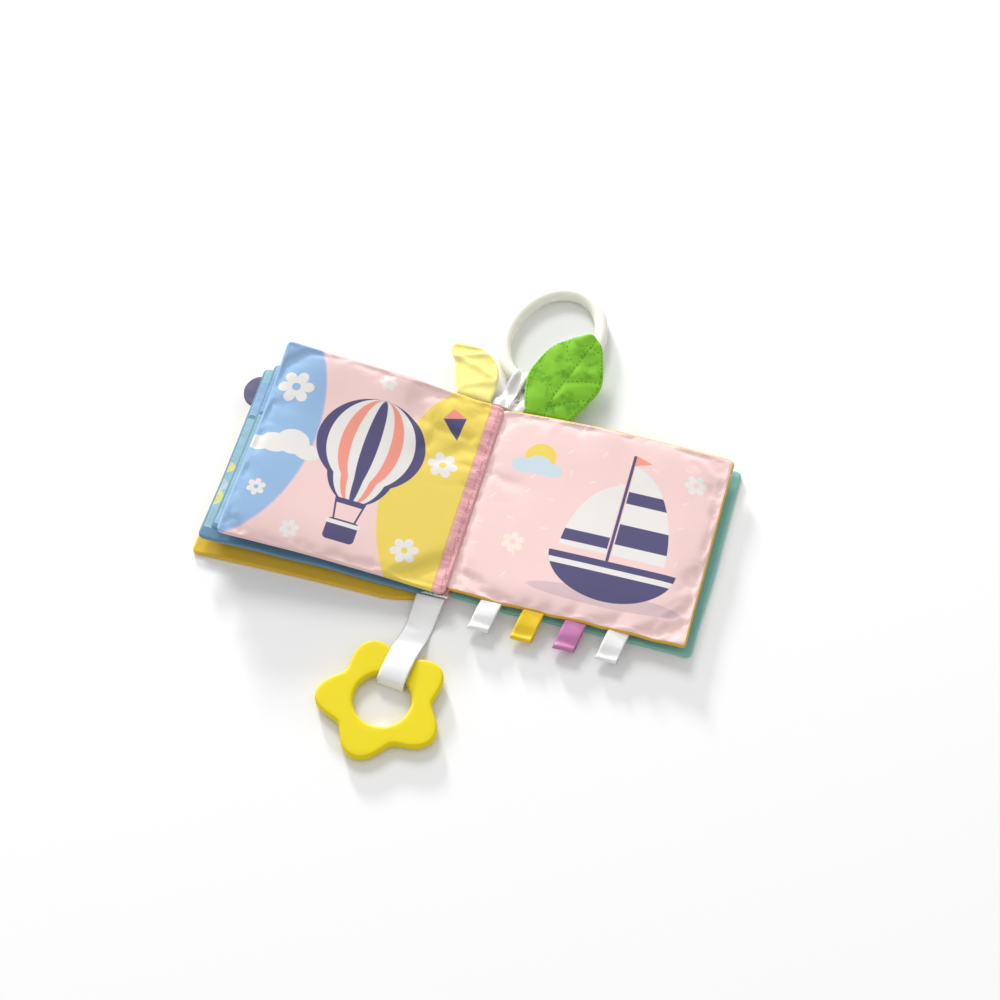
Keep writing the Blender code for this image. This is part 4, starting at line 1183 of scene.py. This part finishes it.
class CLOTHBOOK_OT_cloth_leaf(bpy.types.Operator):
    """Makes the green cloth leaf with its quilted veins"""

    bl_idname = "clothbook.cloth_leaf"
    bl_label = "Cloth Leaf"

    def execute(self, context):
        shape = TabShape("green_leaf")
        s, t, middle, rim = shape.grid()
        veins = [shape.point(*smooth_between(vein, 60).T) for vein in VEINS]
        quilt = 1 - np.exp(-(vein_distance(middle, veins) / 0.0022) ** 2)
        flat = middle[..., :2].copy()
        crease = ripple(flat, 0.006, 4) * 0.0004 + ripple(flat, 0.013, 6) * 0.0006
        over = middle + (rim * (0.0006 + 0.0008 * quilt + crease * quilt))[..., None] * UP
        under = middle - (rim * 0.0007)[..., None] * UP
        mesh = one_cloth(pad_mesh("cloth_leaf", middle, over, under, flat))
        # Painted shade: darker green patches in the leaf's folds.
        cloth = cloth_material("green_cloth", fold_shaded_ground("green", "green_shade"), 0.12, 0.75, 0.1)
        piece = new_piece("cloth_leaf", mesh, [cloth], "green_leaf")
        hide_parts("green_leaf_face_cloth", "green_leaf_back_cloth", "green_leaf_film")
        thread = thread_material("green_thread", "green_thread")
        paths = [on_surface(piece, vein[:, :2], -0.00005) for vein in veins]
        edge = shape.point(np.concatenate([np.full(60, -0.93), np.full(60, 0.93)]),
                           np.concatenate([np.linspace(0.02, 0.80, 60), np.linspace(0.76, 0.02, 60)]))
        paths.append(on_surface(piece, edge[:, :2], -0.00005))
        sew("cloth_leaf_stitches", paths, "green_leaf", thread, 0.0016, 0.0007, sizes().thread)
        return {"FINISHED"}


class CLOTHBOOK_OT_pale_tab(bpy.types.Operator):
    """Makes the pale yellow tab with pleats across it"""

    bl_idname = "clothbook.pale_tab"
    bl_label = "Pale Tab"

    def execute(self, context):
        shape = TabShape("pale_tab")
        s, t, middle, rim = shape.grid()
        flat = middle[..., :2].copy()
        pleat = np.zeros_like(s)
        pleats = ((0.05, 0.02, 0.05, 0.5), (0.17, 0.10, 0.045, 0.7), (0.40, -0.10, 0.06, 1.0),
                  (0.60, 0.14, 0.05, 0.9), (0.80, 0.05, 0.06, 0.7))
        for at, lean, wide, height in pleats:
            line = t - at - lean * s
            pleat += height * np.exp(-(line / wide) ** 2)
        bulge = 0.0005 + 0.0008 * pleat + 0.0002 * ripple(flat, 0.006, 8)
        over = middle + (rim * bulge)[..., None] * UP
        under = middle - (rim * 0.0007)[..., None] * UP
        mesh = one_cloth(pad_mesh("pale_tab", middle, over, under, flat))
        # Painted shade: patches of deeper yellow over the pleated tab.
        ground = fold_shaded_ground("pale_yellow", "tab_shade")
        cloth = cloth_material("pale_yellow_cloth", ground, 0.05, 0.8, 0.2)
        piece = new_piece("pale_tab", mesh, [cloth], "pale_tab")
        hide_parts("pale_tab_face_cloth", "pale_tab_back_cloth", "pale_tab_film")
        return {"FINISHED"}


class CLOTHBOOK_OT_round_tab(bpy.types.Operator):
    """Makes the half-round tab at the free edge"""

    bl_idname = "clothbook.round_tab"
    bl_label = "Round Tab"

    def execute(self, context):
        points = cad_points("round_tab_face_cloth", "round_tab_back_cloth")
        root_x, tip_x = points[:, 0].max(), points[:, 0].min()
        root = points[points[:, 0] > root_x - 0.0006]
        root_x += 0.0022
        centre_y = mid(points[:, 1])
        radius = (points[:, 1].max() - points[:, 1].min()) / 2
        root_z = root[:, 2].mean()
        tip_z = points[points[:, 0] < tip_x + 0.0006][:, 2].mean()
        sideways = np.sin(np.linspace(-math.pi / 2, math.pi / 2, 32))
        s, t = np.meshgrid(sideways, np.linspace(0, 1, 24), indexing="ij")
        out = np.sin(math.pi / 2 * t)
        width = np.maximum(np.cos(math.pi / 2 * t), 0.04)
        x = root_x + (tip_x - root_x) * out
        y = centre_y + radius * width * s
        middle = np.stack([x, y, root_z + (tip_z - root_z) * out], -1)
        to_edge = np.minimum(1 - np.abs(s), np.minimum(t, 1 - t) * 2)
        rim = np.sqrt(np.clip(1 - (1 - np.clip(to_edge / 0.2, 0, 1)) ** 2, 0, 1))
        flat = np.stack([x, y], -1)
        over = middle + (rim * (0.0007 + 0.0002 * ripple(flat, 0.004, 2)))[..., None] * UP
        under = middle - (rim * 0.0006)[..., None] * UP
        mesh = one_cloth(pad_mesh("round_tab", middle, over, under, flat))
        cloth = cloth_material("violet_cloth", plain_ground("violet"))
        piece = new_piece("round_tab", mesh, [cloth], "round_tab")
        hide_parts("round_tab_face_cloth", "round_tab_back_cloth")
        return {"FINISHED"}


def running_length(rows):
    """How far each row's place is from the first, along the line through them."""
    steps = np.linalg.norm(np.diff(np.asarray(rows)[:, :3], axis=0), axis=1)
    return np.concatenate([[0.0], np.cumsum(steps)])


class RibbonPath:
    """The side view of a ribbon, with how far each stretch stands to the side, rolls over and gathers."""

    def __init__(self, count):
        self.count = count
        self.rows = []

    def add(self, along, height, aside=0.0, roll=0.0, gather=0.0):
        self.rows.append((along, height, aside, roll, gather))

    def spaced(self):
        """Rows at even distances on a smooth curve, and the distance of each from the first."""
        fine = smooth_between(self.rows, self.count * 6, running_length(self.rows))
        run = running_length(fine)
        even = np.linspace(0, run[-1], self.count)
        return np.column_stack([np.interp(even, run, column) for column in fine.T]), even


class CLOTHBOOK_OT_tags(bpy.types.Operator):
    """Makes the four folded ribbon tags"""

    bl_idname = "clothbook.tags"
    bl_label = "Ribbon Tags"

    def execute(self, context):
        plan = (("satin", "white_satin"), ("tag_yellow", "yellow_satin"), ("mauve", "mauve_satin"),
                ("satin", "white_satin"))
        for number, (key, slot) in enumerate(plan, start=1):
            node = f"ribbon_tag_{number}"
            points = cad_points(node)
            root_y, tip_y = points[:, 1].max(), points[:, 1].min()
            root, tip = points[points[:, 1] > root_y - 0.0008], points[points[:, 1] < tip_y + 0.0015]
            start = np.array((mid(root[:, 0]), root_y + 0.0040, root[:, 2].mean()))
            finish = np.array((mid(tip[:, 0]), tip_y, tip[:, 2].mean()))
            half_width = (root[:, 0].max() - root[:, 0].min()) / 2
            reach = np.linalg.norm(finish - start)
            ahead = (finish - start) / reach
            square = np.cross((1.0, 0.0, 0.0), ahead)
            square *= math.copysign(1.0, square[2]) / np.linalg.norm(square)
            fold = 0.0012 + 0.0002 * (number % 2)
            path = RibbonPath(60)
            path.add(0.0, -0.0002)
            path.add(0.5 * reach, -0.7 * fold)
            for angle in np.linspace(0.1, math.pi - 0.1, 9):
                path.add(reach - fold + fold * math.sin(angle), -fold * math.cos(angle))
            path.add(reach - 2.3 * fold, 0.42 * fold)
            path.add(0.5 * reach, 0.75 * fold)
            path.add(0.0, 0.0002)
            rows, lengths = path.spaced()
            across = np.linspace(-1, 1, 14)
            grid = (start + rows[:, 0, None, None] * ahead + rows[:, 1, None, None] * square
                    + across[None, :, None] * half_width * np.array((1.0, 0.0, 0.0)))
            cup = 0.0004 * np.sin(math.pi * lengths / lengths[-1])[:, None] * (1 - across ** 2)[None, :]
            grid[..., 2] += cup * (1 if number % 2 else -1)
            flat = np.stack(np.broadcast_arrays(lengths[:, None], across[None, :] * half_width), -1)
            mesh = band_mesh(f"tag_{number}", grid, sizes().satin, flat)
            # The last number is how strong the grey clouds of painted shade are.
            satin = satin_material(f"tag_{number}_satin", key, 0.05)
            piece = new_piece(f"tag_{number}", mesh, [satin], f"tag_{number}")
            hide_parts(node)
        return {"FINISHED"}


class CLOTHBOOK_OT_ring(bpy.types.Operator):
    """Makes the oval ring as a smooth moulded tube"""

    bl_idname = "clothbook.ring"
    bl_label = "Ring"

    def execute(self, context):
        points = cad_points("ring")
        centre = points.mean(axis=0)
        centred = points - centre
        _, _, axes = np.linalg.svd(centred, full_matrices=False)
        long, short, square = axes
        if square[2] < 0:
            square = -square
        half_long, half_short = np.abs(centred @ long).max(), np.abs(centred @ short).max()
        tube = np.abs(centred @ square).max()
        rings = []
        for k in range(160):
            turn = 2 * math.pi * k / 160
            spot = (half_long - tube) * math.cos(turn) * long + (half_short - tube) * math.sin(turn) * short
            out = math.cos(turn) / (half_long - tube) * long + math.sin(turn) / (half_short - tube) * short
            out = out / np.linalg.norm(out)
            rings.append([centre + spot + tube * (math.cos(a) * out + math.sin(a) * square)
                          for a in np.linspace(0, 2 * math.pi, 28, endpoint=False)])
        material = plastic_material("ivory_plastic", "ivory", 0.32, 0.3, 40.0)
        piece = new_piece("ring_smooth", tube_mesh("ring_smooth", rings, closed=True), [material], "ring")
        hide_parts("ring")
        return {"FINISHED"}


class CLOTHBOOK_OT_ring_strap(bpy.types.Operator):
    """Makes the ring's strap: a ribbon through the ring, one leg flat and the other turned over"""

    bl_idname = "clothbook.ring_strap"
    bl_label = "Ring Strap"

    def execute(self, context):
        strap = cad_points("ring_strap")
        root = strap[strap[:, 1] < strap[:, 1].min() + 0.0008]
        start = np.array((mid(root[:, 0]), root[:, 1].min()))
        root_z = root[:, 2].mean()
        half_root = (root[:, 0].max() - root[:, 0].min()) / 2
        high = strap[:, 1].max()
        end = np.array((strap[strap[:, 1] > high - 0.001][:, 0].mean(), high))
        reach = np.linalg.norm(end - start)
        ahead = (end - start) / reach
        thin = sizes().satin
        top = strap[strap[:, 1] > high - 0.004][:, 2].max() - thin
        radius = top / 2
        loop_at = reach - radius
        leg = half_root * 0.50
        path = RibbonPath(130)
        path.add(0.0, root_z + 0.0004, -leg, 0.0, 0.0)
        path.add(0.20 * loop_at, root_z + 0.0002, -leg * 0.95, 0.05, 0.1)
        path.add(0.50 * loop_at, 0.80 * root_z, -leg * 0.60, 0.25, 0.5)
        path.add(0.80 * loop_at, top - 0.0008, -leg * 0.25, 0.15, 0.9)
        for angle in np.linspace(0.1, math.pi - 0.1, 9):
            path.add(loop_at + radius * math.sin(angle), radius + radius * math.cos(angle), 0.0, 0.0, 1.0)
        path.add(0.82 * loop_at, 0.0018, leg * 0.35, -0.35, 0.8)
        path.add(0.60 * loop_at, 0.0036, leg * 0.80, -1.10, 0.5)
        path.add(0.38 * loop_at, 0.0052, leg * 1.05, -0.95, 0.3)
        path.add(0.16 * loop_at, root_z - 0.0008, leg * 1.10, -0.25, 0.1)
        path.add(0.0, root_z - 0.0006, leg, 0.0, 0.0)
        rows, lengths = path.spaced()
        along, height, aside, roll, gather = rows.T
        shares = np.linspace(-1, 1, 34)
        tangent = np.gradient(rows[:, :2], axis=0)
        tangent /= np.linalg.norm(tangent, axis=1, keepdims=True)
        across = np.array((ahead[1], -ahead[0], 0.0))
        forward = np.array((ahead[0], ahead[1], 0.0))
        square = tangent[:, :1] * UP - tangent[:, 1:] * forward
        cosine, sine = np.cos(roll)[:, None], np.sin(roll)[:, None]
        wide = cosine * across + sine * square
        stand = cosine * square - sine * across
        centre = np.array((*start, 0.0)) + along[:, None] * forward + aside[:, None] * across
        centre[:, 2] = height
        half = half_root * (0.66 - 0.05 * gather)
        folds = 0.00030 + 0.00045 * gather
        pleats = folds[:, None] * np.cos(1.5 * math.pi * shares[None, :] + 0.9 + 1.9 * gather[:, None])
        grid = (centre[:, None, :] + (half[:, None] * shares[None, :])[..., None] * wide[:, None, :]
                + pleats[..., None] * stand[:, None, :])
        grid[..., 2] = np.maximum(grid[..., 2], thin * 0.6)
        flat = np.stack(np.broadcast_arrays(lengths[:, None], shares[None, :] * half_root), -1)
        mesh = band_mesh("ring_strap_satin", grid, thin, flat)
        # Painted shade: the strap's satin is a greyer copy of the white, with the strongest grey clouds of
        # painted shade.
        satin = satin_material("strap_satin", "strap", 0.12)
        piece = new_piece("ring_strap_satin", mesh, [satin], "strap")
        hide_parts("ring_strap")
        return {"FINISHED"}


class CLOTHBOOK_OT_teether(bpy.types.Operator):
    """Makes the flower teether as a smooth moulded plate with a round hole"""

    bl_idname = "clothbook.teether"
    bl_label = "Flower Teether"

    def execute(self, context):
        points = cad_points("teether")
        centre = points.mean(axis=0)
        centred = points - centre
        _, _, axes = np.linalg.svd(centred, full_matrices=False)
        square = axes[2] if axes[2][2] > 0 else -axes[2]
        half = 0.8 * np.abs(centred @ square).max()
        level = centred - np.outer(centred @ square, square)
        reach = np.linalg.norm(level, axis=1)
        first = level[reach.argmax()] / reach.max()
        second = np.cross(square, first)
        tip, hole = reach.max(), reach.min()
        angles = np.arctan2(level @ second, level @ first)
        dip = math.pi / 5
        outer = reach > (tip + hole) / 2
        notch = reach[outer & (np.abs(np.abs(angles) - dip) < 0.06)].max()
        rounding = 0.0018
        turns = np.linspace(0, math.pi / 2, 7)
        bevel = [(rounding * (1 - math.cos(a)), half - rounding * (1 - math.sin(a))) for a in turns]
        around = [(-inset, -height) for inset, height in reversed(bevel)]
        around += [(-inset, height) for inset, height in bevel]
        rings = []
        for k in range(300):
            angle = 2 * math.pi * k / 300
            ahead = math.cos(angle) * first + math.sin(angle) * second
            edge = notch + (tip - notch) * (0.5 + 0.5 * math.cos(5 * angle)) ** 0.92
            ring = [centre + ahead * (edge + inset) + square * height for inset, height in around]
            steps = np.linspace(0, 1, 6)[1:-1]
            ring_top = [centre + ahead * ((edge - rounding) * (1 - q) + (hole + rounding) * q) + square * half
                        for q in steps]
            inner = [centre + ahead * (hole - inset) + square * height for inset, height in reversed(around)]
            ring_bottom = [centre + ahead * ((edge - rounding) * q + (hole + rounding) * (1 - q))
                           - square * half for q in steps]
            rings.append(ring + ring_top + inner + ring_bottom)
        material = plastic_material("yellow_plastic", "teether", 0.5, 0.06, 30.0)
        mesh = tube_mesh("teether_smooth", rings, closed=True)
        piece = new_piece("teether_smooth", mesh, [material], "teether")
        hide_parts("teether")
        return {"FINISHED"}


class CLOTHBOOK_OT_teether_ribbon(bpy.types.Operator):
    """Makes the doubled satin ribbon from the spine round the teether's rim"""

    bl_idname = "clothbook.teether_ribbon"
    bl_label = "Teether Ribbon"

    def execute(self, context):
        ribbon, loop = cad_points("teether_ribbon"), cad_points("teether_ribbon_loop")
        root = ribbon[ribbon[:, 1] > ribbon[:, 1].max() - 0.0008]
        start = np.array((mid(root[:, 0]), root[:, 1].max(), root[:, 2].mean()))
        centre = cad_points("teether").mean(axis=0)
        to_centre = np.linalg.norm(loop[:, :2] - centre[:2], axis=1)
        finish = loop[to_centre < to_centre.min() + 0.0012][:, :2].mean(axis=0)
        bend = ribbon[ribbon[:, 1] < ribbon[:, 1].min() + 0.0008]
        middle = np.array((mid(bend[:, 0]), bend[:, 1].mean()))
        top = loop[:, 2].max()
        thin = sizes().satin
        table, low = thin * 0.6, thin * 2.0
        reach, drop = np.linalg.norm(finish - start[:2]), np.linalg.norm(middle - start[:2])
        rim, ahead = reach - 0.0145, (finish - start[:2]) / reach
        path = RibbonPath(150)
        for share in np.linspace(0, 1, 6):
            path.add(share * drop, start[2] + 0.0004 - (start[2] + 0.0004 - low) * ease(share))
        for share in np.linspace(0.2, 1, 6):
            path.add(drop + (rim - drop) * share, low + (top - thin - low) * ease(share))
        for angle in np.linspace(0.1, math.pi - 0.1, 10):
            path.add(reach - 0.0030 + 0.0032 * math.sin(angle),
                     (top + table) / 2 + 0.47 * (top - table) * math.cos(angle))
        path.add(rim, table)
        for share in np.linspace(1, 0, 6):
            path.add(share * drop, start[2] - 0.0002 - (start[2] - 0.0002 - table) * ease(share))
        rows, lengths = path.spaced()
        along = rows[:, 0]
        across_end = np.array((-ahead[1], ahead[0]))
        across_end *= math.copysign(1.0, across_end[0])
        shares = np.linspace(-1, 1, 18)
        turned = np.clip(along / (drop * 0.8), 0, 1)
        side = np.outer(1 - turned, (1.0, 0.0)) + np.outer(turned, across_end)
        side /= np.linalg.norm(side, axis=1, keepdims=True)
        half_width = (root[:, 0].max() - root[:, 0].min()) / 2 * (1 - 0.05 * turned)
        grid = np.zeros((len(rows), len(shares), 3))
        grid[..., :2] = (start[:2] + along[:, None] * ahead)[:, None, :] + (
            half_width[:, None] * shares[None, :])[..., None] * side[:, None, :]
        is_upper = np.arange(len(rows)) < np.argmax(along)
        bow = np.where(is_upper, 0.0006 * np.sin(math.pi * np.clip(along / reach, 0, 1)), 0)
        grid[..., 2] = rows[:, 1, None] + bow[:, None] * (1 - shares ** 2)[None, :]
        flat = np.stack(np.broadcast_arrays(lengths[:, None], shares[None, :] * half_width.mean()), -1)
        mesh = band_mesh("teether_ribbon_satin", grid, thin, flat)
        # The last number is how strong the grey clouds of painted shade are.
        satin = satin_material("ribbon_satin", "satin", 0.10)
        piece = new_piece("teether_ribbon_satin", mesh, [satin], None)
        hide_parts("teether_ribbon", "teether_ribbon_loop")
        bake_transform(piece)
        return {"FINISHED"}


class CLOTHBOOK_OT_loose_threads(bpy.types.Operator):
    """Makes the thread ends that stand out where the strap is sewn in"""

    bl_idname = "clothbook.loose_threads"
    bl_label = "Loose Threads"

    def execute(self, context):
        head = sizes().half_page
        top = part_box("ring_strap")[1].z
        ends = (((0.0030, head - 0.0005, 0.0088), (0.0042, head + 0.0022, top + 0.0010),
                 (0.0060, head + 0.0042, top + 0.0018), (0.0080, head + 0.0046, top + 0.0008)),
                ((0.0022, head - 0.0005, 0.0088), (0.0020, head + 0.0020, top + 0.0010),
                 (0.0012, head + 0.0046, top + 0.0018), (0.0024, head + 0.0074, top + 0.0012)))
        for number, spots in enumerate(ends, start=1):
            path = smooth_between(spots, 30)
            run = np.gradient(path, axis=0)
            run /= np.linalg.norm(run, axis=1, keepdims=True)
            aside = np.cross(run, (0.0, 0.0, 1.0))
            aside /= np.linalg.norm(aside, axis=1, keepdims=True)
            above = np.cross(aside, run)
            turns = np.linspace(0, 2 * math.pi, 8, endpoint=False)
            rings = [[spot + 0.00018 * (math.cos(a) * x + math.sin(a) * z) for a in turns]
                     for spot, x, z in zip(path, aside, above)]
            mesh = tube_mesh(f"loose_thread_{number}", rings)
            new_piece(f"loose_thread_{number}", mesh, [thread_material("loose_thread", "satin")],
                      "spine_and_left_cover")
        return {"FINISHED"}


CAMERA_AZIMUTH, CAMERA_HEIGHT = 15.2, 58.2
CAMERA_DISTANCE, CAMERA_LENS = 1.1, 76.0
FLOOR_REACH = 12.0
CAMERA_TARGET = Vector((0.0115, 0.0084, 0.0))


def aim(name, data, azimuth, height, distance, target=Vector()):
    """A lamp or camera that looks at a target from an azimuth and a height in degrees."""
    a, h = math.radians(azimuth), math.radians(height)
    back = Vector((math.sin(a) * math.cos(h), -math.cos(a) * math.cos(h), math.sin(h)))
    made = bpy.data.objects.new(name, data)
    made.location = target + back * distance
    made.rotation_euler = (-back).to_track_quat("-Z", "Y").to_euler()
    bpy.context.scene.collection.objects.link(made)
    return made


def area_lamp(name, azimuth, height, distance, size, power):
    """A round lamp that shines on the book."""
    data = bpy.data.lights.new(name, "AREA")
    data.shape = "DISK"
    data.size = size
    data.energy = power
    aim(name, data, azimuth, height, distance)


def white_to_camera(tree, surface, shade):
    """Mixes plain white into what the camera and reflections see, and leaves other light its shade."""
    w = Wires(tree)
    path = w.node("ShaderNodeLightPath")
    seen = w.math("MAXIMUM", path["Is Camera Ray"], w.math("MAXIMUM", path["Is Glossy Ray"],
                                                          path["Is Transmission Ray"]))
    return w.mix(seen, shade, surface)


class CLOTHBOOK_OT_stage(bpy.types.Operator):
    """Sets the floor, the soft studio light and the camera"""

    bl_idname = "clothbook.stage"
    bl_label = "Stage"

    def execute(self, context):
        scene = context.scene
        scene.view_settings.view_transform = "Standard"
        plane = bpy.data.meshes.new("floor")
        far = FLOOR_REACH
        corners = [(-far, -far, 0), (far, -far, 0), (far, far, 0), (-far, far, 0)]
        plane.from_pydata(corners, [], [(0, 1, 2, 3)])
        floor = bpy.data.objects.new("floor", plane)
        scene.collection.objects.link(floor)
        material, w, shader = principled("white_floor", {"Roughness": 1.0, "Specular IOR Level": 0.0})
        ground = white_to_camera(material.node_tree, (1.0, 1.0, 1.0), (0.8, 0.8, 0.8))
        away = w.vector("LENGTH", w.place())
        camera_ray = w.node("ShaderNodeLightPath")["Is Camera Ray"]
        fade = w.math("MULTIPLY", w.ramp(away, 0.7, 1.8), camera_ray)
        w.feed(shader["Base Color"], w.mix(fade, ground, (0.0, 0.0, 0.0)))
        w.feed(shader["Emission Strength"], fade)
        plane.materials.append(material)
        world = bpy.data.worlds.new("studio")
        world.use_nodes = True
        scene.world = world
        sky = white_to_camera(world.node_tree, (1.0, 1.0, 1.0), (0.59, 0.59, 0.595))
        Wires(world.node_tree).feed(world.node_tree.nodes["Background"].inputs["Color"], sky)
        area_lamp("key", 212.0, 36.0, 4.0, 1.3, 68.0)
        area_lamp("low_back", 212.0, 14.0, 4.0, 0.45, 128.0)
        data = bpy.data.cameras.new("camera")
        data.lens = CAMERA_LENS
        data.clip_start = 0.05
        camera = aim("camera", data, CAMERA_AZIMUTH, CAMERA_HEIGHT, CAMERA_DISTANCE, CAMERA_TARGET)
        scene.camera = camera
        return {"FINISHED"}


OPERATORS = (CLOTHBOOK_OT_stage, CLOTHBOOK_OT_pages, CLOTHBOOK_OT_spine, CLOTHBOOK_OT_foot_folds,
             CLOTHBOOK_OT_stitches, CLOTHBOOK_OT_cloth_leaf, CLOTHBOOK_OT_pale_tab,
             CLOTHBOOK_OT_round_tab, CLOTHBOOK_OT_tags, CLOTHBOOK_OT_ring, CLOTHBOOK_OT_ring_strap,
             CLOTHBOOK_OT_loose_threads, CLOTHBOOK_OT_teether, CLOTHBOOK_OT_teether_ribbon)


class CLOTHBOOK_PT_panel(bpy.types.Panel):
    """Lists the book's pieces, sizes and colours in the 3D view's sidebar"""

    bl_idname = "CLOTHBOOK_PT_panel"
    bl_label = "Cloth Book"
    bl_space_type = "VIEW_3D"
    bl_region_type = "UI"
    bl_category = "Cloth Book"

    def draw(self, context):
        for operator in OPERATORS:
            self.layout.operator(operator.bl_idname)
        for group in (context.scene.cloth_book_sizes, context.scene.cloth_book_colours):
            for name in group.__annotations__:
                self.layout.prop(group, name)


CLASSES = (ClothBookSizes, ClothBookColours, *OPERATORS, CLOTHBOOK_PT_panel)


def register():
    for item in CLASSES:
        bpy.utils.register_class(item)
    bpy.types.Scene.cloth_book_sizes = PointerProperty(type=ClothBookSizes)
    bpy.types.Scene.cloth_book_colours = PointerProperty(type=ClothBookColours)


def unregister():
    del bpy.types.Scene.cloth_book_colours
    del bpy.types.Scene.cloth_book_sizes
    for item in reversed(CLASSES):
        bpy.utils.unregister_class(item)


def main():
    """Builds every piece in order."""
    register()
    for operator in OPERATORS:
        group, name = operator.bl_idname.split(".")
        getattr(getattr(bpy.ops, group), name)()


if __name__ == "__main__":
    main()
